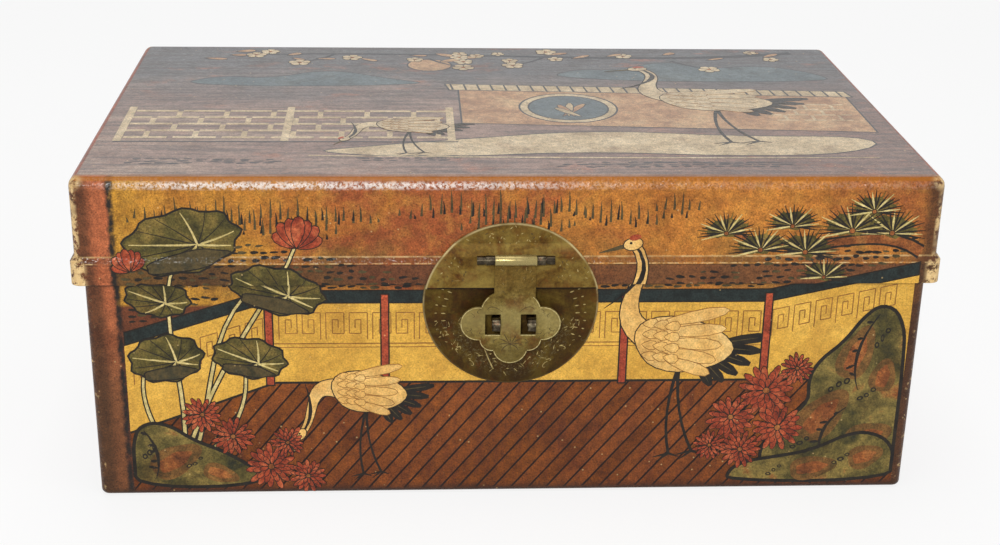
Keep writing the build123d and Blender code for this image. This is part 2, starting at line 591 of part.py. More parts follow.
write("lid_top_board", lid_top_board)
write("lid_front_rail", lid_front_rail)
write("lid_back_rail", lid_back_rail)
write("lid_left_rail", lid_left_rail)
write("lid_right_rail", lid_right_rail)
write("front_lap_strip", front_lap_strip)
write("left_lap_strip", left_lap_strip)
write("right_lap_strip", right_lap_strip)
write("back_left_lap_strip", back_left_lap_strip)
write("back_middle_lap_strip", back_middle_lap_strip)
write("back_right_lap_strip", back_right_lap_strip)
write("lid_leather_cover", lid_leather_cover)
write("lid_lining", lid_lining)
write("lid_corner_pins", Compound(lid_corner_pins))
write("lid_top_pins", Compound(lid_top_pins))
write("lap_strip_pins", Compound(lap_strip_pins))
write("lid_hinge_tacks", Compound(LID_TACKS))

write("lower_lock_plate", lower_lock_plate)
write("upper_lock_plate", upper_lock_plate)
write("hasp", hasp)
write("hasp_rod", hasp_rod)

for side_name, staple_x in STAPLE_XS.items():
    write(f"{side_name}_staple", split_pin(staple_x, STAPLE_Y, STAPLE_Z, STAPLE_BORE_R, STAPLE_T,
                                           STAPLE_WIDTH, -lined_y))
for side_name, eye_x in EYE_XS.items():
    write(f"{side_name}_rod_eye", split_pin(eye_x, ROD_Y, ROD_Z, ROD_BORE_R, ROD_EYE_T,
                                            ROD_EYE_WIDTH, -lid_lined_y))
for side_name, hinge_x in HINGE_XS.items():
    base_leaf, lid_leaf, hinge_pin = hinge_parts(hinge_x)
    write(f"{side_name}_base_hinge_leaf", base_leaf)
    write(f"{side_name}_lid_hinge_leaf", lid_leaf)
    write(f"{side_name}_hinge_pin", hinge_pin)
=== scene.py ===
import random
from functools import partial, reduce
from math import atan2, cos, hypot, pi, radians, sin, sqrt

import bmesh
import bpy
from mathutils import Matrix, Vector


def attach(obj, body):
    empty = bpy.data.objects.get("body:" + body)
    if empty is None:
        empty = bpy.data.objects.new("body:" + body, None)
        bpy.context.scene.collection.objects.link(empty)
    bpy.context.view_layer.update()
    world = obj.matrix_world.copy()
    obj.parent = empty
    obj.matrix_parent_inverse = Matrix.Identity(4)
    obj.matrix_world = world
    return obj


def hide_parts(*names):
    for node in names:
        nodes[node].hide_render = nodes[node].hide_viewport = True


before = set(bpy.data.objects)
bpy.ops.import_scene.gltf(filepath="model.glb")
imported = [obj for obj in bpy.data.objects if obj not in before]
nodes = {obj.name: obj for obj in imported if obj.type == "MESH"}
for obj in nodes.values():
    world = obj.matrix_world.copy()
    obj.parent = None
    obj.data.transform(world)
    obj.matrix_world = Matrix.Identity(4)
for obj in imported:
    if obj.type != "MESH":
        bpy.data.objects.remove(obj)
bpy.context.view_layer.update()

MM = 0.001

# The box's own sizes in millimetres, as its solids have them. A reach is how far a face stands out from the
# lid's own walls.
LID_HALF_LENGTH = 170.0
LID_HALF_DEPTH = 103.0
LID_TOP = 138.5
LID_EDGE_R = 4.0
JOINT_Z = 95.2                # where the lid's lower edge meets the base
BAND_TOP = 104.4
BAND_FADE_TOP = 106.6
BAND_REACH = 1.5
BASE_REACH = -2.85
BASE_RIM = 99.3
BASE_FOOT = 0.3
BASE_FOOT_R = 2.0
PLATE_R = 35.0
PLATE_Z = 85.7
PLATE_SPLIT = 93.8
LOWER_PLATE_REACH = -1.85
UPPER_PLATE_REACH = 2.5
UPPER_PLATE_SET_BACK = 1.5    # the upper half of the plate is set back over the band's fading top
SET_BACK_FOOT = 107.2
SET_BACK_TOP = 112.2
HASP_FACE = 106.7
SLEEVE_FOOT = 104.4
HEAD_X = -0.25                # the middle of the hasp's head

# How far the paintings go.
TOP_HALF_DEPTH = 98.6
WALL_PAINT_TOP = 138.0
LONG_WALL_PAINT = 163.5
END_WALL_PAINT = 96.5
HINGE_PLACES = ((-115.6, 71.6, -84.4, 120.4), (84.4, 71.6, 115.6, 120.4))


def tone(colour):
    """A colour as the eye sees it, red, green and blue from 0 to 255, in the shader's linear values."""
    shares = [value / 255.0 for value in colour]
    return *[v / 12.92 if v <= 0.04045 else ((v + 0.055) / 1.055) ** 2.4 for v in shares], 1.0


RAW_HIDE = (221, 188, 128)
LACQUER = {"Coat_Roughness": 0.19, "Coat_IOR": 1.5, "Specular_IOR_Level": 0.05}
WALL_COAT = 0.4
TARNISH = (206, 206, 204)
TOP_COAT = 0.12
# A grey added over the top and its paints: a bloom of old wax, and a painted sheen.
WAX_BLOOM_AND_SHEEN = (86, 87, 88)
RED_LACQUER = (150, 74, 46)
DARK_LACQUER = (92, 48, 30)


class Nodes:
    """A node tree put together in steps. Any input may be a number, a 0-255 colour or a node's output."""

    def __init__(self, tree):
        self.tree = tree

    def feed(self, socket, value):
        if isinstance(value, bpy.types.NodeSocket):
            self.tree.links.new(value, socket)
        else:
            socket.default_value = tone(value) if socket.type == "RGBA" else value

    def add(self, kind, inputs=None, **settings):
        node = self.tree.nodes.new(kind)
        for key, value in settings.items():
            setattr(node, key, value)
        for key, value in (inputs or {}).items():
            self.feed(node.inputs[key], value)
        return node

    def math(self, operation, *values):
        return self.add("ShaderNodeMath", dict(enumerate(values)), operation=operation).outputs[0]

    def plus(self, *values):
        return reduce(partial(self.math, "ADD"), values)

    def most(self, *values):
        return reduce(partial(self.math, "MAXIMUM"), values)

    def times(self, *values):
        return reduce(partial(self.math, "MULTIPLY"), values)

    def scaled(self, value, by, shift=0.0):
        return self.math("MULTIPLY_ADD", value, by, shift)

    def radius(self, a, b):
        return self.math("SQRT", self.plus(self.math("POWER", a, 2.0), self.math("POWER", b, 2.0)))

    def fade(self, value, start, end):
        """0 at start, 1 at end, with soft ends. Start may be the higher of the two."""
        spread = self.add("ShaderNodeMapRange", {0: value, 1: start, 2: end},
                          interpolation_type="SMOOTHSTEP")
        return spread.outputs[0]

    def span(self, value, low, high, least, most):
        """A level that goes from least to most as the value goes from low to high."""
        return self.add("ShaderNodeMapRange", {0: value, 1: low, 2: high, 3: least, 4: most}).outputs[0]

    def seen(self):
        """1 where a thing is looked at, straight, in a gloss or through something clear, 0 for its light."""
        rays = self.add("ShaderNodeLightPath").outputs
        return self.most(rays["Is Camera Ray"], rays["Is Glossy Ray"], rays["Is Transmission Ray"])


class Finish(Nodes):
    """A material, measured in millimetres, whose colour is laid on coat by coat."""

    def __init__(self, name):
        self.material = bpy.data.materials.new(name)
        self.material.use_nodes = True
        super().__init__(self.material.node_tree)
        self.shader = self.tree.nodes["Principled BSDF"]
        place = self.add("ShaderNodeTexCoord").outputs["Object"]
        self.mm = self.add("ShaderNodeVectorMath", {0: place, "Scale": 1000.0}, operation="SCALE").outputs[0]
        self.x, self.y, self.z = self.add("ShaderNodeSeparateXYZ", {0: self.mm}).outputs
        self.across = self.math("ABSOLUTE", self.x)
        self.along = self.math("ABSOLUTE", self.y)

    def between(self, value, low, high, soft):
        """1 from low to high, falling to 0 over soft on each side."""
        return self.times(self.fade(value, low - soft, low + soft),
                          self.fade(value, high + soft, high - soft))

    def stretched(self, sx, sy, sz, turn=(0, 0, 0)):
        inputs = {"Vector": self.mm, "Scale": (sx, sy, sz), "Rotation": turn}
        return self.add("ShaderNodeMapping", inputs).outputs[0]

    def noise(self, size, detail=3.0, rough=0.55, vector=None, warp=0.0):
        inputs = {"Vector": vector or self.mm, "Scale": 1.0 / size, "Detail": detail, "Roughness": rough,
                  "Distortion": warp}
        return self.add("ShaderNodeTexNoise", inputs).outputs[0]

    def cells(self, size, feature="F1"):
        inputs = {"Vector": self.mm, "Scale": 1.0 / size}
        return self.add("ShaderNodeTexVoronoi", inputs, feature=feature).outputs["Distance"]

    def mix(self, factor, first, second, mode="MIX"):
        inputs = {0: factor, 6: first, 7: second}
        return self.add("ShaderNodeMix", inputs, data_type="RGBA", blend_type=mode).outputs[2]

    def ramp(self, factor, *stops):
        """Colours at places from 0 to 1 along a scale."""
        node = self.add("ShaderNodeValToRGB", {0: factor})
        band = node.color_ramp
        while len(band.elements) < len(stops):
            band.elements.new(0.5)
        for element, (position, colour) in zip(band.elements, stops):
            element.position = position
            element.color = tone(colour)
        return node.outputs[0]

    def lay(self, colour, *shares, mode="MIX"):
        """Lays a colour over the finish so far, as thickly as its shares multiplied together say."""
        self.colour = self.mix(self.times(*shares), self.colour, colour, mode)

    def bump(self, height, distance, strength, under=None):
        inputs = {"Height": height, "Distance": distance * MM, "Strength": strength}
        if under:
            inputs["Normal"] = under
        return self.add("ShaderNodeBump", inputs).outputs[0]

    def surface(self, roughness, normal=None, coat=None, **fixed):
        """Joins the colour, roughness and bump to the shader, and sets what is the same all over."""
        joined = {"Base Color": self.colour, "Roughness": roughness, "Normal": normal}
        if coat:
            joined.update({"Coat Weight": coat, "Coat Normal": normal})
        joined.update({key.replace("_", " "): value for key, value in fixed.items()})
        for key, value in joined.items():
            if value is not None:
                self.feed(self.shader.inputs[key], value)
        return self.material


def hide_grain(f):
    """The bump of lacquered pigskin: pebbles under a millimetre wide, pores, creases and a slow waviness."""
    pebbles = f.cells(0.95, "SMOOTH_F1")
    pores = f.fade(f.cells(2.6), 0.12, 0.3)
    creases = f.noise(2.2, 4.0, 0.6)
    height = f.plus(f.times(pebbles, 0.55), f.times(creases, 0.5), f.times(pores, 0.18))
    return f.bump(f.noise(24.0, 2.0, 0.5), 0.9, 0.45, f.bump(height, 0.48, 0.9))


def aged(f, depth=1.0):
    """Lays fine speckle, grime, pitted dimples and rubbed light spots over the colour so far."""
    f.lay(f.span(f.noise(0.7, 2.0, 0.7), 0.28, 0.72, 0.42, 1.5), 0.8 * depth, mode="MULTIPLY")
    f.lay(f.span(f.noise(2.6, 3.0, 0.6), 0.3, 0.7, 0.72, 1.26), depth, mode="MULTIPLY")
    f.lay((150, 108, 60), f.fade(f.noise(17.0, 5.0, 0.62), 0.5, 0.72), 0.5 * depth, mode="MULTIPLY")
    f.lay((60, 40, 24), f.fade(f.cells(1.25), 0.3, 0.1), 0.42 * depth, mode="MULTIPLY")
    f.lay(RAW_HIDE, f.fade(f.cells(5.5), 0.09, 0.03), 0.5 * depth)


def paint_finish(name, *colours, size=14.0, depth=1.0, coat=WALL_COAT):
    """A painter's colour that runs through several tones over a patch, under old lacquer."""
    f = Finish(name)
    stops = [(0.32 + 0.36 * i / max(1, len(colours) - 1), c) for i, c in enumerate(colours)]
    f.colour = f.ramp(f.noise(size, 5.0, 0.6, warp=0.4), *stops)
    aged(f, depth)
    # Paints on the top get the grey wax bloom and painted sheen added.
    if coat == TOP_COAT:
        f.lay(WAX_BLOOM_AND_SHEEN, 1.0, mode="ADD")
    return f.surface(f.plus(0.42, f.times(f.noise(3.0), 0.16)), hide_grain(f), coat, **LACQUER)


def hide_cover():
    """Painted, lacquered pigskin over the box: ground colours, frame strip, rubbed edges, bare corners,
    painted light and shade.
    """
    f = Finish("old_painted_hide")
    cloud = f.noise(34.0, 5.0, 0.6, warp=0.6)
    small = f.noise(7.0, 4.0, 0.65)
    sides = f.ramp(cloud, (0.3, DARK_LACQUER), (0.46, (128, 64, 40)), (0.58, RED_LACQUER),
                   (0.72, (170, 96, 54)))
    run = f.plus(f.scaled(f.x, 1.0 / 310.0, 0.5), f.scaled(cloud, 0.7, -0.35))
    sky = f.ramp(run, (0.04, (184, 132, 44)), (0.2, (170, 108, 38)), (0.34, (146, 74, 36)),
                 (0.5, (154, 82, 38)), (0.62, (176, 110, 42)), (0.84, (182, 116, 46)), (1.0, (150, 84, 38)))
    sky = f.mix(f.times(f.fade(small, 0.4, 0.85), 0.5), sky, (194, 142, 60))
    haze = f.times(f.between(f.z, 86.0, 113.0, 8.0), f.fade(f.noise(26.0, 4.0, 0.6), 0.4, 0.66))
    sky = f.mix(f.times(haze, 0.55), sky, (96, 84, 40))
    front = f.fade(f.y, -98.2, -99.4)
    f.colour = f.mix(front, sides, sky)
    f.lay((104, 56, 32), front, f.fade(f.z, 86.0, 84.0))
    shade = f.ramp(run, (0.08, (38, 40, 24)), (0.3, (84, 54, 30)), (0.5, (104, 62, 34)),
                   (0.9, (104, 66, 40)))
    f.lay(f.mix(small, shade, (84, 44, 30)), f.between(f.z, JOINT_Z, 103.6, 0.6), 0.82)
    # The top, a plum brown under a bloom of old wax and a painted sheen.
    plum = f.ramp(f.noise(26.0, 5.0, 0.62, f.stretched(0.35, 1.0, 1.0), warp=0.5), (0.3, (112, 86, 74)),
                  (0.5, (140, 112, 98)), (0.7, (158, 134, 116)))
    plum = f.mix(f.times(f.fade(f.x, 0.0, 110.0), 0.7), plum, (116, 84, 70))
    # Greyer and bluer towards the back, partly as a painted sheen.
    far = f.fade(f.plus(f.y, f.scaled(cloud, 90.0, -45.0)), -30.0, 70.0)
    plum = f.mix(f.times(far, 0.85), plum, f.mix(small, (54, 62, 68), (92, 99, 102)))
    brushed = f.fade(f.noise(3.0, 5.0, 0.7, f.stretched(0.08, 1.0, 1.0)), 0.42, 0.6)
    plum = f.mix(f.times(brushed, 0.6), plum, (70, 58, 54))
    rust = f.fade(f.noise(17.0, 5.0, 0.66, f.stretched(0.6, 1.0, 1.0)), 0.56, 0.72)
    top = f.fade(f.z, LID_TOP - 0.25, LID_TOP)
    f.lay(f.mix(f.times(rust, 0.55), plum, (158, 88, 52)), top)
    # A frame strip down the left end of the front, darker below, with a fuzzy dark line along it.
    ragged = f.scaled(f.noise(4.0, 4.0, 0.7), 3.4, -1.7)
    inward = f.math("SUBTRACT", ragged, f.x)
    strip = f.times(front, f.fade(inward, 154.5, 155.5))
    f.lay(f.mix(cloud, (150, 74, 42), (190, 112, 70)), strip)
    f.lay((96, 62, 34), strip, f.fade(f.z, 98.0, 40.0), 0.8)
    f.lay((36, 30, 26), f.between(inward, 153.2, 155.6, 0.9), front, f.fade(small, 0.2, 0.5))
    # Darker along the foot and towards the upright corners.
    f.lay((48, 32, 22), f.fade(f.plus(f.z, f.times(ragged, 0.7)), 4.2, 1.4), 0.85)
    lid_corner = f.plus(f.plus(f.across, -LID_HALF_LENGTH), f.plus(f.along, -LID_HALF_DEPTH))
    is_base = f.fade(f.z, 95.6, 95.0)
    corner = f.plus(f.times(lid_corner, f.math("SUBTRACT", 1.0, is_base)),
                    f.times(f.plus(lid_corner, -2 * BASE_REACH), is_base))
    f.lay((66, 42, 22), f.fade(corner, -10.0, -4.8), 0.8)
    aged(f)
    # The grey wax bloom and painted sheen, added flat over the top.
    f.lay(WAX_BLOOM_AND_SHEEN, top, mode="ADD")
    # A painted highlight streak in the grain of the front's upper rounding, thinner to the right, and above
    # it a brown line of painted shade where the rounding reflects less.
    streak_highlight = f.times(f.fade(f.y, -97.5, -99.5), f.between(f.z, 134.4, 136.9, 0.9),
                    f.fade(f.noise(1.3, 4.0, 0.75), 0.42, 0.56))
    f.lay((228, 219, 212), streak_highlight, f.fade(f.x, -168.0, -120.0),
          f.scaled(f.fade(f.x, -40.0, 60.0), -0.72, 0.8))
    f.lay((158, 92, 14), f.fade(f.y, -96.8, -98.2), f.between(f.z, 137.3, 138.45, 0.35), 0.85)
    # Painted shade on the sloping face over the band, a painted highlight line on the ridge, a dark seam,
    # and a painted shadow under the lid's lower edge where lid and base meet.
    f.lay((84, 46, 22), f.between(f.z, BAND_TOP, BAND_FADE_TOP, 0.3), 0.45)
    f.lay((204, 172, 112), f.between(f.z, 106.3, 106.8, 0.25), 0.35)
    f.lay((54, 30, 20), f.between(f.z, 103.3, 103.7, 0.2), f.fade(small, 0.34, 0.48), 0.75)
    f.lay((44, 24, 16), f.between(f.z, 94.7, 95.5, 0.3), 0.7)
    # Bare hide where edges rub: upright corners, band ridges and its lower edge, and the lid's own corners.
    chips = f.noise(3.6, 5.0, 0.72)
    sparse = f.noise(21.0, 3.0, 0.6)
    upright = f.times(f.fade(corner, -3.6, -2.6), f.fade(f.plus(chips, f.scaled(is_base, -0.16)), 0.42,
                                                         0.54), f.fade(sparse, 0.34, 0.52))
    ridge = f.times(f.between(f.z, 106.2, 106.8, 0.2), f.fade(sparse, 0.4, 0.54), 0.5)
    lip = f.times(f.between(f.z, 103.95, 104.35, 0.16), f.fade(small, 0.4, 0.5), 0.8)
    ridge = f.times(f.most(ridge, lip), f.fade(chips, 0.42, 0.54))
    hem = f.times(f.between(f.z, 95.0, 95.9, 0.4), f.fade(chips, 0.55, 0.64), f.fade(sparse, 0.5, 0.6))
    cusp = f.times(f.fade(f.plus(lid_corner, f.plus(f.z, -LID_TOP)), -9.5, -4.0), f.fade(chips, 0.36, 0.5))
    band_corner = f.times(f.fade(lid_corner, -4.8, -1.2), f.between(f.z, 95.0, 104.0, 1.0),
                          f.fade(chips, 0.42, 0.52))
    edge = f.times(f.between(f.z, 135.8, 137.9, 0.4), f.fade(chips, 0.66, 0.74), 0.7)
    wear = f.most(upright, ridge, hem, cusp, band_corner, edge)
    f.lay(f.mix(f.noise(1.6, 3.0), (196, 152, 92), (238, 212, 158)), wear)
    # The folded flesh side under the foot.
    f.lay(f.mix(small, (120, 86, 54), (160, 122, 80)), f.fade(f.z, 1.1, 0.5))
    shine = f.plus(0.36, f.times(f.noise(3.0), 0.18), f.times(wear, 0.2))
    # Thick bright lacquer on the walls, a thin film of wax over the top.
    coat = f.span(f.z, 137.9, 138.45, WALL_COAT, TOP_COAT)
    return f.surface(shine, hide_grain(f), coat, **LACQUER)


def planks_finish():
    """Terrace boards in slanting strips, each a little different, with grain along them and dark joints."""
    f = Finish("painted_terrace_boards")
    lean = f.scaled(f.z, -0.82, f.x)
    count = f.math("DIVIDE", lean, 7.4)
    plank = f.math("FLOOR", count)
    own = f.add("ShaderNodeTexWhiteNoise", {"W": plank}, noise_dimensions="1D").outputs[0]
    streak = f.noise(1.0, 4.0, 0.6, f.stretched(0.32, 1.0, 0.05, (0.0, radians(-39.0), 0.0)))
    f.colour = f.ramp(f.noise(22.0, 5.0, 0.62), (0.3, (84, 38, 6)), (0.5, (108, 55, 11)),
                      (0.7, (134, 72, 18)))
    f.lay((144, 77, 34), own, 0.5)
    f.lay((84, 38, 22), f.fade(streak, 0.45, 0.7), 0.45)
    part = f.math("ABSOLUTE", f.math("SUBTRACT", f.math("FRACT", count), 0.5))
    waver = f.scaled(f.noise(9.0, 3.0), 0.05, 0.385)
    f.lay((24, 12, 8), f.fade(part, waver, f.plus(waver, 0.045)))
    aged(f)
    foot = f.fade(f.plus(f.z, f.times(f.noise(5.0), 3.0)), 7.0, 3.0)
    f.lay((52, 30, 20), foot, 0.8)
    shine = f.plus(0.38, f.times(f.noise(3.0), 0.16))
    return f.surface(shine, hide_grain(f), WALL_COAT, **LACQUER)


def brass_finish(name, bright, middle, dark, part=None):
    """Old sheet brass, toned and stained, with fine scratches and pits, and what is special to its part."""
    f = Finish(name)
    stain = f.noise(13.0, 6.0, 0.66, warp=0.5)
    mottled = f.noise(2.4, 5.0, 0.7)
    f.colour = f.ramp(f.plus(f.times(stain, 0.7), f.times(mottled, 0.3)), (0.34, dark), (0.48, middle),
                      (0.62, bright))
    brown = f.fade(f.noise(8.0, 4.0, 0.6), 0.5, 0.66)
    f.lay((116, 64, 16), brown, 0.7)
    fine = [f.noise(1.0, 3.0, 0.7, f.stretched(sx, 1.0, sz, (0, radians(turn), 0))) for sx, sz,
            turn in ((0.12, 3.2, 12), (0.1, 3.0, -38), (0.14, 3.4, 74))]
    scratch = f.most(*[f.fade(n, 0.68, 0.73) for n in fine])
    scratch = f.times(scratch, f.fade(f.noise(9.0), 0.46, 0.6))
    f.lay((206, 184, 120), scratch, 0.6)
    f.lay(f.span(f.noise(1.1, 4.0, 0.7), 0.3, 0.7, 0.45, 1.5), 0.75, mode="MULTIPLY")
    pits = f.fade(f.cells(1.9), 0.16, 0.06)
    f.lay((44, 30, 14), pits, f.fade(mottled, 0.5, 0.6), 0.8)
    if part == "plate":
        # The upper half is lighter than the lower one, and a painted shadow darkens the joint between them,
        # under the upper half's edge.
        upper = f.fade(f.z, PLATE_SPLIT - 0.1, PLATE_SPLIT + 0.1)
        low_tone = f.mix(f.fade(stain, 0.4, 0.62), (48, 28, 0), (86, 64, 4))
        f.lay(low_tone, f.scaled(upper, -0.7, 0.7))
        f.lay((170, 146, 78), upper, f.fade(stain, 0.36, 0.6), 0.35)
        f.lay((30, 18, 6), f.between(f.z, PLATE_SPLIT - 0.1, PLATE_SPLIT + 0.5, 0.15))
        # A pale rubbed rim round the plate, faded out towards the bottom, so that it is also a painted
        # highlight along the upper edges.
        radius = f.radius(f.x, f.plus(f.z, -PLATE_Z))
        rubbed = f.times(f.fade(radius, PLATE_R - 0.9, PLATE_R - 0.3), f.fade(f.noise(11.0, 3.0), 0.3, 0.55))
        rubbed = f.times(rubbed, f.span(f.z, 60.0, 92.0, 0.15, 1.0))
        f.lay((214, 192, 138), rubbed, 0.9)
        # Scuffs where the head of the hasp has swung against the plate, and rust brown patches.
        reach = f.radius(f.x, f.plus(f.z, -78.0))
        scuff = f.times(f.between(reach, 17.0, 24.0, 3.0), f.fade(f.z, 82.0, 74.0),
                        f.fade(f.noise(1.0, 4.0, 0.8), 0.5, 0.62))
        f.lay((146, 134, 92), scuff, 0.5)
        rusty = f.fade(f.noise(10.0, 5.0, 0.66, warp=0.8), 0.55, 0.66)
        f.lay((112, 60, 14), rusty, 0.5)
        # Darker towards the bottom of the plate.
        f.lay((44, 26, 0), f.fade(f.z, 62.0, 53.0), 0.4)
    if part == "hasp":
        # Browner up the neck, rubbed brightest across the middle of the head.
        f.lay(f.mix(1.0, f.colour, (205, 186, 150), "MULTIPLY"), f.fade(f.z, 84.0, 98.0))
        f.lay((196, 178, 116), f.between(f.z, 76.0, 86.0, 5.0), 0.35)
        f.lay((92, 76, 34), f.fade(f.z, 74.0, 67.0), 0.5)
        # The rolled sleeve round the rod is worn bright, and lightened further as a painted highlight.
        sleeve = f.fade(f.z, SLEEVE_FOOT, SLEEVE_FOOT + 1.0)
        f.lay((206, 188, 126), sleeve, 0.7)
    f.lay(TARNISH, 1.0, mode="MULTIPLY")
    height = f.plus(f.times(mottled, 0.5), f.times(scratch, -0.3))
    height = f.plus(height, f.times(pits, -0.5))
    normal = f.bump(f.noise(9.0, 2.0), 0.5, 0.6, f.bump(height, 0.07, 0.8))
    dull = f.plus(0.46 if part == "plate" else 0.36, f.times(mottled, 0.24))
    if part == "hasp":
        dull = f.plus(dull, f.times(sleeve, -0.2))
    return f.surface(dull, normal, Metallic=0.5, Specular_IOR_Level=0.25)


def iron_finish():
    """Wrought iron wire, nearly black, rubbed grey in places, with a little rust."""
    f = Finish("dark_wrought_iron")
    rub = f.noise(3.2, 4.0, 0.6)
    f.colour = f.ramp(rub, (0.34, (36, 30, 22)), (0.52, (62, 54, 41)), (0.7, (122, 112, 90)))
    f.lay((104, 62, 38), f.fade(f.noise(2.6), 0.6, 0.72), 0.5)
    normal = f.bump(f.noise(0.8, 3.0), 0.03, 0.6)
    return f.surface(f.plus(0.2, f.times(rub, 0.2)), normal, Metallic=0.9)


def pine_finish():
    """Plain sawn pine: long grain, darker latewood lines, and dirt gathered with age."""
    f = Finish("aged_pine")
    rings = f.noise(1.0, 4.0, 0.6, f.stretched(0.012, 0.22, 0.22), warp=1.2)
    late = f.math("FRACT", f.times(rings, 9.0))
    f.colour = f.ramp(late, (0.0, (176, 136, 86)), (0.6, (158, 116, 68)), (0.92, (118, 78, 42)))
    fibre = f.noise(1.0, 4.0, 0.7, f.stretched(0.06, 2.2, 2.2))
    f.lay((96, 64, 36), f.fade(fibre, 0.5, 0.7), 0.4)
    f.lay((112, 84, 56), f.fade(f.noise(30.0, 5.0), 0.48, 0.66), 0.5, mode="MULTIPLY")
    normal = f.bump(f.plus(f.times(late, 0.3), fibre), 0.14, 0.7)
    return f.surface(f.plus(0.62, f.times(fibre, 0.2)), normal)


def bamboo_finish():
    """Split bamboo pins: straw colour with fine dark fibres along them."""
    f = Finish("bamboo_pins")
    fibre = f.noise(0.35, 3.0, 0.6)
    f.colour = f.ramp(fibre, (0.3, (140, 100, 54)), (0.5, (186, 148, 92)), (0.7, (208, 176, 120)))
    return f.surface(f.plus(0.5, f.times(fibre, 0.2)), f.bump(fibre, 0.05, 0.6))


def paper_finish():
    """The lining: laid red paper, faded and browned, with pale fibres, lapped joints and old tide marks."""
    f = Finish("old_red_lining_paper")
    warm = f.noise(60.0, 5.0, 0.6)
    f.colour = f.ramp(warm, (0.3, (146, 70, 48)), (0.5, (170, 86, 60)), (0.7, (188, 108, 80)))
    rubbed = f.fade(f.noise(16.0, 5.0, 0.66), 0.48, 0.68)
    f.lay((198, 130, 98), rubbed, 0.35)
    threads = f.noise(1.0, 3.0, 0.6, f.stretched(0.35, 0.35, 2.4, (0.3, 0.6, 0.9)), warp=1.4)
    f.lay((206, 148, 110), f.fade(threads, 0.6, 0.68), 0.4)
    laid = f.math("SINE", f.times(f.plus(f.x, f.y), 3.2))
    f.lay((128, 58, 42), laid, 0.05)
    fox = f.times(f.fade(f.cells(16.0), 0.13, 0.03), f.fade(f.noise(44.0), 0.45, 0.6))
    f.lay((92, 44, 30), fox, 0.7)
    # Where one sheet of paper laps over the next, old tide marks, and darker towards the corners and the
    # rim.
    waver = f.scaled(f.noise(40.0), 3.0, -1.5)
    for axis, place in ((f.x, 54.0), (f.x, -66.0), (f.y, 18.0)):
        lap = f.math("SUBTRACT", f.plus(axis, waver), place)
        f.lay((128, 56, 40), f.between(lap, 0.0, 6.0, 0.4), 0.22)
        f.lay((84, 38, 28), f.between(lap, -0.15, 0.2, 0.15), 0.5)
    tide = f.noise(70.0, 4.0, 0.55, warp=0.6)
    f.lay((104, 50, 34), f.between(tide, 0.6, 0.612, 0.008), 0.55)
    f.lay((196, 126, 94), f.fade(tide, 0.6, 0.66), 0.35)
    corner = f.most(f.fade(f.across, 138.0, 158.0), f.fade(f.along, 76.0, 92.0))
    f.lay((112, 56, 40), corner, f.fade(warm, 0.3, 0.7), 0.45)
    height = f.plus(f.times(threads, 0.5), f.noise(18.0, 4.0, 0.5))
    return f.surface(f.plus(0.74, f.times(warm, 0.12)), f.bump(height, 0.25, 0.6))


SLOT_FINISHES = {
    "painted_leather": hide_cover(),
    "pine": pine_finish(),
    "bamboo": bamboo_finish(),
    "lining_paper": paper_finish(),
    "plate_brass": brass_finish("lock_plate_brass", (162, 134, 58), (124, 92, 28), (84, 48, 8), "plate"),
    "hasp_brass": brass_finish("hasp_brass", (184, 164, 98), (150, 128, 62), (98, 72, 22), "hasp"),
    "hinge_brass": brass_finish("hinge_brass", (168, 140, 78), (128, 98, 46), (82, 58, 26)),
    "brass_tack": brass_finish("tack_brass", (190, 160, 92), (146, 112, 52), (92, 64, 28)),
    "iron": iron_finish(),
}
for node in nodes.values():
    for place in node.material_slots:
        place.material = SLOT_FINISHES[place.material.name.split(".")[0]]


def wall_reach(z):
    """How far a wall's leather stands out from the lid's own walls at a height, in millimetres."""
    if z < JOINT_Z - 0.001:
        rise = max(0.0, BASE_FOOT + BASE_FOOT_R - z)
        return BASE_REACH - BASE_FOOT_R + sqrt(max(0.0, BASE_FOOT_R ** 2 - rise ** 2))
    if z <= BAND_TOP:
        return BAND_REACH
    if z < BAND_FADE_TOP:
        return BAND_REACH * (BAND_FADE_TOP - z) / (BAND_FADE_TOP - BAND_TOP)
    rise = min(LID_EDGE_R, max(0.0, z - LID_TOP + LID_EDGE_R))
    return sqrt(LID_EDGE_R ** 2 - rise ** 2) - LID_EDGE_R


def base_reach(z):
    return wall_reach(min(z, JOINT_Z - 0.01))


def on_side(side, u, v, h, reach):
    """Where a point u to the right, v up and h proud of a side of the box lies, over what reach(v) gives."""
    if side == "top":
        return (u, v, LID_TOP + h)
    out = (LID_HALF_DEPTH if side in ("front", "back") else LID_HALF_LENGTH) + reach(v) + h
    return {"front": (u, -out, v), "right": (out, u, v), "back": (-u, out, v), "left": (-out, -u, v)}[side]


WALL_BREAKS = {
    "base": (BASE_FOOT + 0.5, BASE_FOOT + 1.1, BASE_FOOT_R + BASE_FOOT),
    "lid": (BAND_TOP, BAND_FADE_TOP, 134.5, 136.0, 137.2),
}
PAINT_SUNK = 0.12
CUT_SUNK = 0.05


def eased(points, steps):
    """Points along a line of two ends, or a curve through one or two pulls between them."""
    line = [Vector(p) for p in points]
    if len(line) == 2:
        return [line[0].lerp(line[1], i / steps) for i in range(steps + 1)]
    if len(line) == 3:
        line = [line[0], line[0].lerp(line[1], 2 / 3), line[2].lerp(line[1], 2 / 3), line[2]]
    start, pull, second_pull, end = line
    spots = []
    for i in range(steps + 1):
        t = i / steps
        s = 1 - t
        spots.append(start * s ** 3 + pull * 3 * s * s * t + second_pull * 3 * s * t * t + end * t ** 3)
    return spots


def around(u, v, reach, turn):
    """The point at a distance from u, v in a direction in degrees."""
    return (u + reach * cos(radians(turn)), v + reach * sin(radians(turn)))


def placed(name, data):
    """A new object in the scene."""
    thing = bpy.data.objects.new(name, data)
    bpy.context.scene.collection.objects.link(thing)
    return thing


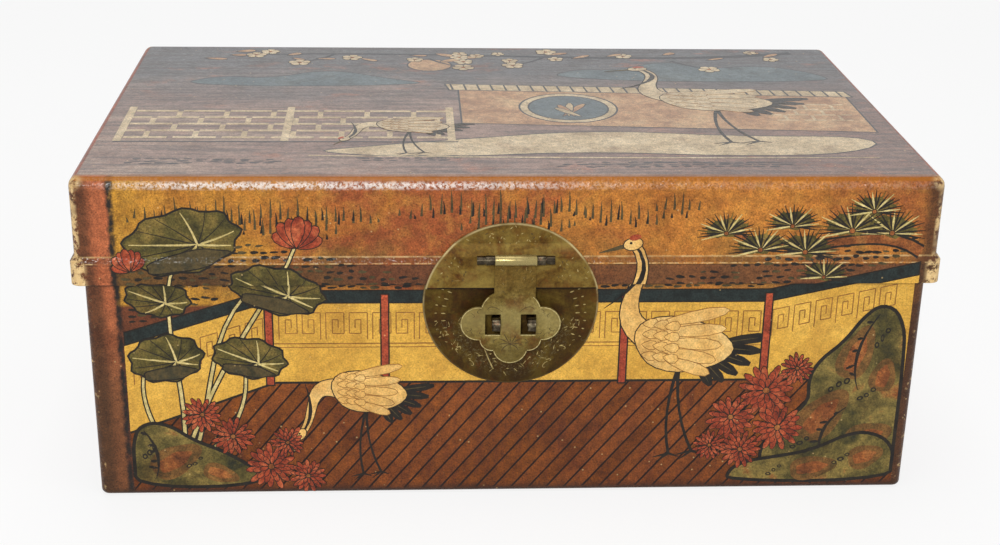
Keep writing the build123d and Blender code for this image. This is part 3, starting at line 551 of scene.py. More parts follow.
def piece_of(name, bm, finishes):
    """A finished mesh as a new object, with its materials in order."""
    mesh = bpy.data.meshes.new(name)
    bm.to_mesh(mesh)
    bm.free()
    for finish in finishes:
        mesh.materials.append(finish)
    return placed(name, mesh)


LEVEL_STEP = 0.02             # from one level of a drawing to the next
HAIR = 0.0002                 # one layer of paint above the next on the same level


class Sheet:
    """A flat sheet to draw on: u to the right, v up, each shape a little higher than what it covers."""

    def __init__(self):
        self.bm = bmesh.new()
        self.finishes = []
        self.laid = []

    def pot(self, finish):
        if finish not in self.finishes:
            self.finishes.append(finish)
        return self.finishes.index(finish)

    def keep(self, bm, level):
        """Lays a finished flat shape on the sheet at its level, a hair above what it may overlap there."""
        across = [vert.co.x for vert in bm.verts]
        along = [vert.co.y for vert in bm.verts]
        left, low, right, high = min(across), min(along), max(across), max(along)
        met = []
        for top, own, (a, b, c, d) in self.laid:
            if left < c and a < right and low < d and b < high:
                met.append((top, own))
        height = max([LEVEL_STEP * (level + 1)] + [top + HAIR for top, own in met if own <= level])
        while any(abs(top - height) < 0.6 * HAIR for top, own in met):
            height += HAIR
        self.laid.append((height, level, (left, low, right, high)))
        bmesh.ops.translate(bm, verts=bm.verts[:], vec=(0.0, 0.0, height))
        loose = bpy.data.meshes.new("loose")
        bm.to_mesh(loose)
        bm.free()
        self.bm.from_mesh(loose)
        bpy.data.meshes.remove(loose)

    def edged(self, bm, fill, edge, width, square=False):
        """Gives a flat shape its colour, and a painted outline inside its border."""
        inner = bm.faces[:]
        for face in inner:
            face.material_index = self.pot(fill)
        if edge:
            rim = bmesh.ops.inset_region(bm, faces=inner, thickness=width, use_boundary=True,
                                         use_even_offset=square)
            for face in rim["faces"]:
                face.material_index = self.pot(edge)

    def shape(self, points, fill, level=1, edge=None, width=0.4, round_off=3):
        """A shape drawn through a few corner points, which are rounded off unless round_off is 0."""
        bm = bmesh.new()
        corners = [bm.verts.new((u, v, 0.0)) for u, v in points]
        bm.faces.new(corners)
        if round_off:
            bmesh.ops.bevel(bm, geom=corners, offset=49.0, offset_type="PERCENT", segments=round_off,
                            profile=0.5, affect="VERTICES", material=-1)
        bmesh.ops.remove_doubles(bm, verts=bm.verts[:], dist=0.2 * width if edge else 0.02)
        self.edged(bm, fill, edge, width, round_off == 0)
        self.keep(bm, level)

    def disc(self, sides, radius, bend, u, v, ru, rv, turn, fill, level, edge, width):
        """A round shape whose border is bent point by point, then stretched, turned and moved into place."""
        bm = bmesh.new()
        bmesh.ops.create_circle(bm, cap_ends=True, segments=sides, radius=radius)
        for vert in bm.verts:
            bend(vert.co)
        place = Matrix.Translation((u, v, 0.0)) @ Matrix.Rotation(radians(turn), 4, "Z")
        place @= Matrix.Diagonal((ru, rv, 1.0, 1.0))
        bmesh.ops.transform(bm, matrix=place, verts=bm.verts[:])
        self.edged(bm, fill, edge, width)
        self.keep(bm, level)

    def oval(self, u, v, ru, rv, turn, fill, level=1, edge=None, width=0.35, sides=16, pinch=0.0, lobes=0,
             depth=0.0):
        """An oval, narrowed to its far end by pinch, or with a lobed border."""
        def bend(spot):
            if lobes:
                spot *= 1.0 + depth * cos(lobes * atan2(spot.y, spot.x))
            spot.y *= 1.0 - pinch * (0.5 + 0.5 * spot.x)

        self.disc(sides, 1.0, bend, u, v, ru, rv, turn, fill, level, edge, width)

    def petal(self, u, v, length, breadth, turn, fill, level=1, edge=None, width=0.3, sides=10):
        """A petal that starts at a point and swells towards its end."""
        def bend(spot):
            spot.x += 0.5
            spot.y *= 0.25 + 0.95 * sqrt(max(0.0, spot.x))

        self.disc(sides, 0.5, bend, u, v, length, breadth, turn, fill, level, edge, width)

    def stroke(self, points, width, finish, level=3, steps=6):
        """A brush line along a curve. Its width is one number, or the widths at start, middle and end."""
        line = eased(points, steps)
        start, middle, end = width if isinstance(width, tuple) else (width, width, width)
        bm = bmesh.new()
        bmesh.ops.create_grid(bm, x_segments=steps, y_segments=1, size=0.5)
        for vert in bm.verts:
            i = round((vert.co.x + 0.5) * steps)
            ahead = line[min(i + 1, steps)] - line[max(i - 1, 0)]
            side = Vector((-ahead.y, ahead.x)).normalized()
            t = 2 * i / steps
            wide = start + (middle - start) * t if t < 1 else middle + (end - middle) * (t - 1)
            spot = line[i] + side * (0.5 * wide if vert.co.y > 0 else -0.5 * wide)
            vert.co = (spot.x, spot.y, 0.0)
        for face in bm.faces:
            face.material_index = self.pot(finish)
        self.keep(bm, level)

    def lay_on(self, name, side, body, low=None, high=None, across=None, bare=(), breaks=(),
               reach=wall_reach, sunk=PAINT_SUNK):
        """Cuts the drawing to the part of a side from low to high and wraps it on as thin closed layers."""
        bm = self.bm.copy()
        bmesh.ops.triangulate(bm, faces=bm.faces[:])

        def cut(place, normal, trim=False):
            geom = bm.verts[:] + bm.edges[:] + bm.faces[:]
            bmesh.ops.bisect_plane(bm, geom=geom, dist=0.0001, plane_co=place, plane_no=normal,
                                   clear_outer=trim)

        if low is not None:
            cut((0, low, 0), (0, -1, 0), True)
        if high is not None:
            cut((0, high, 0), (0, 1, 0), True)
        if across:
            cut((-across, 0, 0), (-1, 0, 0), True)
            cut((across, 0, 0), (1, 0, 0), True)
        for level in breaks:
            cut((0, level, 0), (0, 1, 0))
        for left, bottom, right, top in bare:
            cut((left, 0, 0), (1, 0, 0))
            cut((right, 0, 0), (1, 0, 0))
            cut((0, bottom, 0), (0, 1, 0))
            cut((0, top, 0), (0, 1, 0))
            middles = [(face, face.calc_center_median()) for face in bm.faces]
            hidden = [face for face, spot in middles if left < spot.x < right and bottom < spot.y < top]
            bmesh.ops.delete(bm, geom=hidden, context="FACES")
        for part in bmesh.ops.extrude_face_region(bm, geom=bm.faces[:])["geom"]:
            if isinstance(part, bmesh.types.BMVert):
                part.co.z = -sunk
        bm.verts.index_update()
        for parts in (bm.edges, bm.faces):       # extruding lists its new parts in another order each run
            ordered = sorted(parts, key=lambda part: sorted(vert.index for vert in part.verts))
            for rank, part in enumerate(ordered):
                part.index = rank
            parts.sort()
        for vert in bm.verts:
            vert.co = Vector(on_side(side, *vert.co, reach)) * MM
        bmesh.ops.recalc_face_normals(bm, faces=bm.faces[:])
        piece = piece_of(name, bm, self.finishes)
        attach(piece, body)

    def lay_on_walls(self, name, side, across, bare=()):
        """Wraps a wall's drawing on the base and the lid, cut where they meet and at the upright corners."""
        parts = (("base", None, BASE_RIM, base_reach), ("lid", JOINT_Z, WALL_PAINT_TOP, wall_reach))
        for body, low, high, reach in parts:
            self.lay_on(name + "_" + body, side, body, low, high, across, bare,
                        WALL_BREAKS[body], reach)


INK = paint_finish("black_ink", (20, 16, 12), (38, 32, 24), (26, 23, 22), size=9.0, depth=0.5)
SOFT_INK = paint_finish("thin_olive_ink", (48, 46, 28), (84, 70, 40), (58, 54, 36), size=6.0, depth=0.6)
FINE_LINE = paint_finish("brown_line", (120, 78, 34), (156, 108, 50), size=8.0, depth=0.5)
CREAM = paint_finish("cream_white", (206, 158, 86), (222, 176, 100), (230, 192, 122), depth=0.6)
BUFF = paint_finish("golden_buff", (194, 145, 56), (213, 164, 66), (224, 177, 78), size=40.0, depth=0.6)
ROCK = paint_finish("rock_olive", (44, 44, 28), (76, 68, 30), (104, 90, 44), (132, 112, 56), (146, 84, 40),
                    size=15.0)
BLUSH = paint_finish("rock_blush", (74, 60, 28), (110, 76, 36), (132, 94, 46), size=7.0)
LEAF = paint_finish("leaf_olive", (54, 50, 22), (88, 78, 34), (128, 106, 50), size=10.0)
RUST = paint_finish("rust_brown", (92, 50, 24), (138, 78, 36), (164, 106, 54), size=7.0)
PETAL = paint_finish("petal_red", (116, 42, 24), (154, 64, 36), (184, 98, 60), size=5.0)
RAIL = paint_finish("rail_green_black", (20, 25, 23), (34, 43, 41), (24, 26, 23), size=9.0)
POST = paint_finish("post_red", (138, 52, 34), (176, 78, 46), size=9.0)
BOARDS = planks_finish()
PALE_RIB = paint_finish("pale_rib", (176, 156, 92), (216, 196, 134), size=4.0, depth=0.6)


def crane(sheet, u, v, size, way, feeding=False, plumage=CREAM):
    """A standing crane, facing way: 1 to the right, -1 to the left. Its body's middle is at u, v."""
    def at(a, b):
        return (u + way * size * a, v + size * b)

    def turned(angle):
        return angle if way > 0 else 180 - angle

    def line(points, widths, paint, level, steps=6):
        sheet.stroke([at(*p) for p in points], tuple(size * w for w in widths), paint, level, steps)

    for foot, knee in (((-1, -46), (3, -29)), ((-10, -45), (-2, -28))):
        line([(-3, -8), knee, foot], (1.5, 1.0, 1.2), INK, 2)
        for a, b in ((6, -1.6), (4.6, -3.6), (-4, -1.4)):
            line([foot, (foot[0] + a, foot[1] + b)], (1.1, 0.8, 0.3), INK, 2, 2)
    for i, angle in enumerate((172, 186, 200, 214, 228, 240)):
        a, b = -15 + 1.3 * i, 1 - i
        sheet.petal(*at(a, b), (23 - 1.6 * i) * size, 4.6 * size, turned(angle), INK, 2)
        sheet.stroke([at(a, b), at(*around(a, b, 18 - i, angle))], (0.3, 0.5, 0.2), SOFT_INK, 3, 2)
    body = [(16, 9), (14, -3), (5, -11), (-10, -11), (-24, -5), (-24, 3), (-11, 11), (4, 14)]
    if feeding:
        neck = [(12, 3), (28, 6), (22, -12), (30, -22)]
        skull, beak, crown, tilt = (30.5, -23), (36, -33), (32.5, -21), -60
    else:
        neck = [(11, 5), (27, 16), (6, 30), (17, 43)]
        skull, beak, crown, tilt = (17.5, 43), (30, 39.5), (16.8, 45.6), -12
    line(neck, (11.0, 5.6, 4.2), INK, 3, 12)
    line(neck, (10.0, 4.7, 3.3), plumage, 4, 12)
    sheet.shape([at(*p) for p in body], plumage, 4, INK, 0.45)
    line([neck[3], neck[2], neck[1]], (0.8, 2.0, 0.2), INK, 5, 8)
    sheet.oval(*at(*skull), 3.9 * size, 2.7 * size, turned(tilt), plumage, 5, INK, 0.4, 14)
    line([skull, beak], (2.0, 1.5, 0.3), SOFT_INK, 4, 4)
    sheet.oval(*at(*crown), 2.3 * size, 1.2 * size, turned(tilt), PETAL, 6, sides=10)
    sheet.oval(*at(skull[0] + 0.8, skull[1] + 0.4), 0.55 * size, 0.55 * size, 0, INK, 6, sides=8)
    for i, angle in enumerate((168, 176, 184, 192, 200)):
        sheet.petal(*at(8 - i, 9 - 3.4 * i), (30 - 2.4 * i) * size, 5.6 * size, turned(angle), plumage, 5,
                    FINE_LINE, 0.32, 12)
    for row in range(3):
        for k in range(4):
            place = at(12 - 4.2 * row, 9.5 - 4.2 * k - row * 0.6)
            sheet.petal(*place, 6.4 * size, 4.6 * size, turned(176 + 5 * k), plumage, 6, FINE_LINE, sides=8)


def lotus_leaf(sheet, u, v, ru, rv, turn, level, fold=True):
    """A broad lotus leaf with a waved border, veins spreading from its stalk, and one side folded over."""
    sheet.oval(u, v, ru, rv, turn, LEAF, level, INK, 0.8, 40, lobes=9, depth=0.06)
    hub = Vector((0.25, -0.2))
    lean = radians(turn)
    for i in range(13):
        tip = Vector((cos(2 * pi * i / 13), sin(2 * pi * i / 13))) * 0.9
        bow = hub.lerp(tip, 0.55) + Vector((0.05, -0.04))
        line = [(u + spot.x * ru * cos(lean) - spot.y * rv * sin(lean),
                 v + spot.x * ru * sin(lean) + spot.y * rv * cos(lean)) for spot in (hub, bow, tip)]
        pale = i % 3 == 0
        width, paint = ((0.9, 0.7, 0.3), PALE_RIB) if pale else ((0.5, 0.4, 0.25), INK)
        sheet.stroke(line, width, paint, level + 1, 5)
    if fold:
        sheet.oval(u + 0.66 * rv * sin(lean), v - 0.62 * rv * cos(lean), ru * 0.72, rv * 0.3, turn,
                   SOFT_INK, level + 1, INK, 0.5, 28, lobes=5, depth=0.07)


def stalk(sheet, points):
    """A pale reed of a stalk between dark edges."""
    sheet.stroke(points, (2.6, 2.3, 1.9), INK, 4, 10)
    sheet.stroke(points, (1.4, 1.2, 0.9), PALE_RIB, 5, 10)


def lotus_flower(sheet, u, v, size, turn, level):
    """A half-open lotus: outer petals spread wide, inner ones upright."""
    for spread, length, breadth in ((62, 0.85, 0.42), (-62, 0.85, 0.42), (38, 0.98, 0.44),
                                    (-38, 0.98, 0.44), (18, 1.0, 0.42), (-18, 1.0, 0.42), (0, 1.05, 0.46)):
        sheet.petal(u, v, length * size, breadth * size, turn + spread, PETAL, level, INK, 0.35, 12)


def pine(sheet, branch, tufts):
    """A crooked pine bough with flat fans of needles."""
    sheet.stroke(branch, (6.0, 4.4, 1.8), INK, 2, 14)
    sheet.stroke(branch, (4.2, 2.8, 0.7), RUST, 3, 14)
    for u, v, size, turn in tufts:
        sheet.oval(u, v + 0.2 * size, size * 0.74, size * 0.34, turn, LEAF, 3, None, 0, 26, 0, 9, 0.12)
        for i in range(23):
            angle = radians(turn - 12 + 204 * i / 22)
            reach = size * (0.94 + 0.12 * (i % 2))
            tip = (u + reach * cos(angle), v + 0.78 * reach * sin(angle))
            paint = (INK, INK, PALE_RIB, INK, LEAF)[i % 5]
            sheet.stroke([(u, v), tip], (0.5, 0.8, 0.2), paint, 4, 2)
        sheet.oval(u, v, 0.1 * size, 0.1 * size, 0, RUST, 5, INK, 0.3, 8)


def chrysanthemum(sheet, u, v, size, rng, level):
    """A round flower head of many narrow petals in rings, outlined one by one."""
    for ring, (count, reach) in enumerate(((15, 1.0), (12, 0.76), (9, 0.5))):
        for i in range(count):
            turn = 360 * (i + 0.5 * ring) / count + rng.uniform(-5, 5)
            sheet.petal(*around(u, v, 0.16 * size * reach, turn), size * reach * rng.uniform(0.84, 1.0),
                        size * 0.3 * (0.6 + 0.4 * reach), turn, PETAL, level, INK, 0.28)
    sheet.oval(u, v, 0.15 * size, 0.15 * size, 0, RUST, level + 2, INK, 0.3, 10)


def rock(sheet, outline, rng, level, patches, holes, ticks=()):
    """A weathered garden rock: heavy dark border, rusty patches, pits and short edge marks."""
    sheet.shape(outline, ROCK, level, INK, 1.5, 4)
    for u, v, ru, rv, turn in patches:
        sheet.oval(u, v, 1.25 * ru, 1.35 * rv, turn, BLUSH, level + 1, sides=36, lobes=3, depth=0.1)
        sheet.oval(u, v, 0.85 * ru, 0.8 * rv, turn, RUST, level + 1, None, 0, 36, 0.3, 5, 0.07)
    for u, v, ru, rv, turn in holes:
        for i in (-1, 0, 1):
            spot = (u + i * ru, v + i * rv + rv * rng.uniform(-0.3, 0.3))
            wide, tall = ru * rng.uniform(0.4, 0.6), rv * rng.uniform(0.4, 0.6)
            sheet.oval(*spot, wide, tall, turn, INK, level + 2, sides=18)
            sheet.oval(*spot, 0.5 * wide, 0.45 * tall, turn, ROCK, level + 2, sides=12)
    for curve in ticks:
        sheet.stroke(curve, (0.4, 1.5, 0.3), INK, level + 2, 8)
        for i in range(5):
            spot = eased(curve, 20)[round((i + 0.6) / 5.6 * 20)]
            sheet.petal(*spot, rng.uniform(2.6, 4.4), 1.5, rng.uniform(150, 215), INK, level + 2, sides=6)


def grass_rows(sheet, rng, u0, u1, v, length, gap, finish):
    """A row of short upright brush strokes that thins out at its ends."""
    u = u0
    while u < u1:
        tall = length * min(1.0, (u - u0) / 14.0 + 0.35, (u1 - u) / 14.0 + 0.35) * rng.uniform(0.6, 1.1)
        low = v + rng.uniform(-1.8, 1.8)
        blade = [(u, low), (u + 0.2, low + 0.5 * tall), (u + rng.uniform(-0.5, 0.5), low + tall)]
        sheet.stroke(blade, (1.0, 0.75, 0.2), finish, 1, 3)
        u += gap * rng.uniform(0.75, 1.3)


DAB_ROW = 2.6                 # from one row of dabs to the next


def dabs(sheet, rng, field, inside, paints, length=3.3, breadth=1.45):
    """Short level brush dabs in staggered rows over a field, wherever inside(u, v) says so."""
    left, low, right, high = field
    for row in range(round((high - low) / DAB_ROW)):
        u = left + rng.uniform(0.0, length)
        while u < right:
            v = low + DAB_ROW * row + rng.uniform(-0.6, 0.6)
            if inside(u, v) and rng.random() < 0.9:
                sheet.oval(u, v, 0.5 * length * rng.uniform(0.7, 1.3),
                           0.5 * breadth * rng.uniform(0.7, 1.25), rng.uniform(-9, 9), rng.choice(paints),
                           1, sides=8, pinch=0.4)
            u += (length + 0.7) * rng.uniform(0.8, 1.3)


def key_fret(sheet, u, v, along, rise, mirrored=False):
    """One turn of a key fret whose courses run up a slope."""
    turns = ((0, 0), (0, 11.6), (7.2, 11.6), (7.2, 2.6), (2.6, 2.6), (2.6, 8.6), (4.9, 8.6), (4.9, 5.0))
    for a, b in zip(turns, turns[1:]):
        ends = [(u + along * (7.2 - p[0] if mirrored else p[0]), v + p[1] + rise * p[0]) for p in (a, b)]
        sheet.stroke(ends, (0.42, 0.34, 0.42), FINE_LINE, 1, 1)


def front_scene():
    """A terrace by a lotus pool: boards, a low fretted wall, cranes, lotus leaves, rocks and flowers."""
    rng = random.Random(11)
    art = Sheet()
    foot, left, right = 2.4, -153.2, 162.6
    near, far = -94, 104
    art.shape([(left, foot), (right, foot), (right, 51), (near, 51), (left, 29)], BOARDS, 0, round_off=0)
    art.shape([(left, 29.3), (near, 51.3), (right, 51.3), (right, 99), (far, 86), (near - 3, 86),
               (left, 68)], BUFF, 0, round_off=0)
    art.stroke([(left, 29), (near, 51)], (1.0, 1.2, 1.0), INK, 1, 1)
    art.stroke([(near, 51), (right, 51)], (1.0, 1.2, 1.0), INK, 1, 1)
    # The fret along the wall, and its top rail.
    for v, width in ((68.2, 0.5), (66.6, 0.35)):
        art.stroke([(near, v), (far, v)], width, FINE_LINE, 1, 1)
    for i in range(21):
        key_fret(art, near + 2 + 9.3 * i, 70.0, 1.0, 0.0, i % 2 == 1)
    for i in range(6):
        key_fret(art, left + 3 + 9.0 * i, 50.5 + 3.0 * i, 0.95, 0.3)
        key_fret(art, far + 2 + 8.6 * i, 70.5 + 1.9 * i, 0.9, 0.2)
    art.shape([(left, 67.5), (near - 3, 85.5), (far, 85.5), (right, 98.6), (right, 104.6), (far, 91.4),
               (near - 3, 91.4), (left, 73.6)], RAIL, 2, INK, 0.6, 0)
    for u in (-96, -50, 46, 104):
        art.shape([(u - 1.9, 49.6), (u + 1.9, 49.6), (u + 1.9, 89.8), (u - 1.9, 89.8)], POST, 3, INK, 0.6, 0)
    inks = (INK, INK, SOFT_INK)

    # Mist and reeds over the pool, up on to the lid.
    def mist(u, v):
        return max(92, 93.4 + 0.225 * (u - far)) < v < 103 + 11 * cos(0.022 * (u + 130)) and abs(u) > 36

    dabs(art, rng, (-151, 92.8, 160, 118), mist, inks)
    dabs(art, rng, (-151, 70, -97, 92), lambda u, v: v > 75.5 + (u + 153) * 0.33, inks)
    for u0, u1, v in ((-148, -52, 121), (-44, 30, 124), (24, 60, 121), (56, 76, 125), (-20, 24, 118.5),
                      (-110, -66, 116)):
        grass_rows(art, rng, u0, u1, v, 8.5, 3.4, SOFT_INK)
        grass_rows(art, rng, u0 + 6, u1 - 6, v - 1, 6.0, 5.6, INK)
    # Lotus at the left.
    stalk(art, [(-132, 20), (-128, 52), (-142, 82), (-130, 106)])
    stalk(art, [(-128, 18), (-118, 46), (-122, 76), (-98, 96)])
    stalk(art, [(-136, 18), (-150, 40), (-146, 56)])
    stalk(art, [(-124, 18), (-104, 34), (-106, 58)])
    stalk(art, [(-130, 22), (-112, 70), (-92, 90), (-84, 112)])
    lotus_leaf(art, -128, 113, 23, 13, 12, 6)
    lotus_leaf(art, -92, 92, 19, 11, -14, 7)
    lotus_leaf(art, -137, 62, 15, 10.5, 8, 7)
    lotus_leaf(art, -104, 62, 15, 9, -10, 6)
    lotus_leaf(art, -139, 88, 13, 8, -8, 7, fold=False)
    lotus_flower(art, -84, 110, 13, 84, 9)
    lotus_flower(art, -148, 101, 9, 104, 9)
    # Low rocks and flowers at the foot on the left.
    rock(art, [(left, 3), (left, 14), (left, 26), (-149, 34), (-138, 34), (-128, 26), (-118, 22),
               (-108, 16), (-101, 11), (-101, 3)], rng, 7,
         patches=((-136, 16, 9, 5, 30), (-118, 10, 6, 3, -20)),
         holes=((-128, 15, 2.4, 1.7, 20), (-146, 20, 2.0, 2.6, 0)),
         ticks=(((-148, 30), (-140, 20), (-144, 8)),))
    for u, v, size in ((-97, 13, 10), (-112, 27, 8), (-82, 8.5, 7.5), (-124, 37, 7.5), (-90, 24, 6.5)):
        chrysanthemum(art, u, v, size, rng, 10)
    # Tall rocks at the right, with flowers before them.
    rock(art, [(right, 3), (right, 30), (right, 60), (161, 78), (152, 86), (143, 80), (136, 68), (126, 60),
               (122, 50), (124, 40), (112, 32), (104, 20), (106, 8), (114, 3)], rng, 4,
         patches=((142, 62, 10, 5, 70), (130, 34, 11, 6, 50), (150, 24, 8, 5, 20), (154, 52, 6, 4, 80)),
         holes=((136, 48, 3.2, 2.2, 60), (148, 44, 2.6, 2.0, 20), (122, 22, 2.8, 2.0, 10),
                (152, 70, 2.0, 3.0, 0)),
         ticks=(((150, 80), (138, 62), (144, 46)), ((140, 38), (126, 28), (132, 12))))
    rock(art, [(right, 3), (right, 12), (right, 20), (154, 27), (142, 27), (128, 19), (112, 16), (98, 14),
               (91, 8), (93, 3)], rng, 8, patches=((128, 10, 8, 4, 10), (150, 15, 6, 4, 20)),
         holes=((112, 9, 2.2, 1.5, 0), (140, 14, 2.6, 1.8, 10)))
    for u, v, size in ((106, 46, 11), (92, 34, 9.5), (112, 29, 10), (97, 19, 8), (84, 21, 6.5),
                       (118, 56, 6.5)):
        chrysanthemum(art, u, v, size, rng, 11)
    # Pine over the right of the lid.
    pine(art, [(right, 108), (140, 124), (112, 98), (80, 120)],
         ((150, 116, 13, -10), (134, 117, 14, 4), (116, 108, 13, -4), (98, 109, 12, 6), (84, 116, 11, 8),
          (142, 125, 11, 0), (110, 119, 11, 0), (124, 98, 10, -6)))
    # The pair of cranes.
    crane(art, -60, 46, 0.8, -1, feeding=True)
    crane(art, 66, 66, 1.06, -1)
    art.lay_on_walls("front_painting", "front", LONG_WALL_PAINT)


def blossom(sheet, u, v, size, fill, rng, level=4):
    """A five-petalled plum blossom with a dark eye."""
    start = rng.uniform(0, 72)
    for turn in range(0, 360, 72):
        sheet.petal(u, v, size, size * 0.92, start + turn, fill, level, INK, 0.28, 9)
    sheet.oval(u, v, 0.2 * size, 0.2 * size, 0, RUST, level + 1, sides=8)


def bamboo(sheet, u, v, height, lean, rng):
    """A cane with its joints, and leaves in hanging threes."""
    def at(t):
        return (u + lean * t * t, v + height * t)

    for i in range(6):
        middle = 2.56 - 0.24 * i
        knot = 1.375 * middle
        sheet.stroke([at(i / 6), at((i + 0.94) / 6)], (knot, middle, knot), SOFT_INK, 1, 2)
    for _ in range(13):
        joint = at(rng.uniform(0.34, 1.0))
        side = rng.choice((-1, 1))
        twig = (joint[0] + side * rng.uniform(5, 13), joint[1] + rng.uniform(1, 7))
        sheet.stroke([joint, twig], (0.7, 0.6, 0.4), SOFT_INK, 2, 2)
        for spread in (-26, 0, 24):
            turn = (-62 if side > 0 else -118) + spread + rng.uniform(-8, 8)
            sheet.petal(*twig, rng.uniform(13, 19), rng.uniform(2.8, 4.0), turn, LEAF, 3, INK)


def plum_branch(sheet, points, width, rng, flowers, fill, size):
    """A crooked branch with side twigs and blossoms along it."""
    sheet.stroke(points, (width, width * 0.7, width * 0.25), INK, 1, 14)
    spots = eased(points, 40)
    for _ in range(flowers):
        u, v = spots[rng.randrange(8, 41)]
        twig = (u + rng.uniform(-14, 14), v + rng.uniform(-4, 15))
        bow = (0.5 * (u + twig[0]) + 2, 0.5 * (v + twig[1]) - 1.5)
        sheet.stroke([(u, v), bow, twig], (1.3, 0.9, 0.5), INK, 1, 5)
        blossom(sheet, *twig, size * rng.uniform(0.75, 1.15), fill, rng)


def railing(sheet, u0, u1, v0, rows, length, gap, bar, fill):
    """Broken-bar railing: level bars in courses, with short uprights between them."""
    for row in range(rows):
        v = v0 + gap * row
        u = u0 - (0.5 * length if row % 2 else 0.0)
        while u < u1:
            left, right, middle = max(u0, u + 1.2), min(u1, u + length - 1.2), u + 0.5 * length
            if right - left > 3:
                sheet.stroke([(left, v), (right, v)], bar, fill, 2, 1)
            if row < rows - 1 and u0 < middle < u1:
                sheet.stroke([(middle, v + 0.5 * bar), (middle, v + gap - 0.5 * bar)], bar, fill, 2, 1)
            u += length


WAXED_CREAM = paint_finish("waxed_cream", (160, 138, 104), (186, 164, 128), (200, 180, 146), size=16.0,
                           coat=TOP_COAT)
WAXED_OCHRE = paint_finish("waxed_ochre", (140, 98, 64), (170, 130, 92), (186, 152, 112), size=16.0,
                           coat=TOP_COAT)
WAXED_SLATE = paint_finish("waxed_slate_blue", (70, 80, 84), (98, 108, 108), size=18.0, coat=TOP_COAT)
WAXED_DARK = paint_finish("waxed_slate", (30, 31, 34), (50, 48, 46), size=12.0, coat=TOP_COAT)


def top_scene():
    """On the lid: a broken-bar railing, a pale winding bank with two cranes, and blossom along the back."""
    rng = random.Random(23)
    art = Sheet()
    # Far hills and the sun.
    for hill in ([(20, 40), (40, 62), (58, 56), (84, 78), (104, 60), (130, 70), (158, 52), (158, 36)],
                 [(-150, 26), (-128, 48), (-104, 40), (-78, 60), (-50, 42), (-22, 30)]):
        art.shape(hill, WAXED_SLATE, 0, WAXED_DARK, 0.7, 6)
    art.oval(-30, 66, 11, 11, 10, WAXED_OCHRE, 1, WAXED_DARK, 0.8, 28)
    # The wall with its tiled coping, its round window and a lattice panel.
    art.shape([(-18, -30), (159, -42), (159, 14), (-18, 24)], WAXED_OCHRE, 1, WAXED_DARK, 0.8, 0)
    art.shape([(-22, 22), (162, 12), (160, 22), (-24, 33)], WAXED_CREAM, 2, WAXED_DARK, 0.8, 0)
    for i in range(30):
        u = -20 + 6.1 * i
        v = 23 - 0.055 * (u + 20)
        art.stroke([(u, v), (u - 1.0, v + 9.5)], (1.0, 0.9, 0.8), WAXED_DARK, 3, 1)
    art.oval(30, -6, 22, 23, 0, WAXED_CREAM, 2, WAXED_DARK, 0.9, 36)
    art.oval(30, -6, 18, 19, 0, WAXED_SLATE, 3, WAXED_DARK, 0.8, 32)
    for i, angle in enumerate((60, 84, 108, 128)):
        art.petal(26 + 3 * i, -20, 24 - 2 * i, 4.5, angle, WAXED_CREAM if i % 2 else WAXED_OCHRE, 4,
                  WAXED_DARK, 0.5, 10)
    railing(art, 118, 154, -24, 4, 12, 8.0, 1.4, WAXED_CREAM)
    # The railing at the left, and the pale bank before it.
    railing(art, -158, -24, -50, 5, 20, 9.5, 2.3, WAXED_CREAM)
    for u in (-158.8, -91.0, -22.5):
        art.stroke([(u, -55), (u, -6)], 3.2, WAXED_CREAM, 3, 1)
    art.stroke([(-160, -56), (-20, -56)], 1.2, WAXED_DARK, 2, 1)
    art.shape([(-12, -50), (40, -38), (100, -48), (158, -46), (150, -70), (96, -76), (30, -68), (-30, -78),
               (-84, -70), (-60, -62)], WAXED_CREAM, 1, WAXED_DARK, 0.8, 4)
    art.stroke([(-80, -74), (30, -78), (150, -76)], (0.8, 1.3, 0.6), WAXED_CREAM, 2, 16)
    crane(art, 92, 4, 1.3, -1, plumage=WAXED_CREAM)
    crane(art, -42, -34, 0.8, -1, feeding=True, plumage=WAXED_CREAM)
    for _ in range(34):
        u, v = rng.uniform(-150, 150), 84 + rng.uniform(-12, 9)
        if rng.random() < 0.5:
            blossom(art, u, v, rng.uniform(3.4, 5.6), WAXED_CREAM, rng, 3)
        else:
            art.petal(u, v, rng.uniform(7, 13), rng.uniform(3.5, 6), rng.uniform(-40, 40), WAXED_OCHRE, 3,
                      WAXED_DARK, 0.5, 12)
    art.stroke([(150, 92), (70, 66), (-20, 96), (-120, 84)], (4.2, 3.0, 1.2), WAXED_DARK, 1, 24)
    for u, v, way in ((-30, 62, 1), (26, 66, -1), (88, 60, 1), (-76, 70, -1)):
        art.stroke([(u, v + 16), (u + 6 * way, v + 6), (u + 16 * way, v)], (2.0, 1.4, 0.6), WAXED_DARK, 1, 8)
        blossom(art, u + 16 * way, v, 5.6, WAXED_CREAM, rng, 3)
    for left, low, width in ((-150, -84, 60), (20, -88, 90), (-60, -80, 40)):
        dabs(art, rng, (left, low, left + width, low + 9), lambda u, v: True, (WAXED_DARK,), 4.5, 1.6)
    art.lay_on("top_painting", "top", "lid", -TOP_HALF_DEPTH, TOP_HALF_DEPTH)


def border(sheet, half):
    """A painted line a little way in from a panel's edges."""
    corners = [(-half, 7), (half, 7), (half, 131), (-half, 131)]
    for a, b in zip(corners, corners[1:] + corners[:1]):
        sheet.stroke([a, b], (1.3, 1.0, 1.3), SOFT_INK, 1, 8)


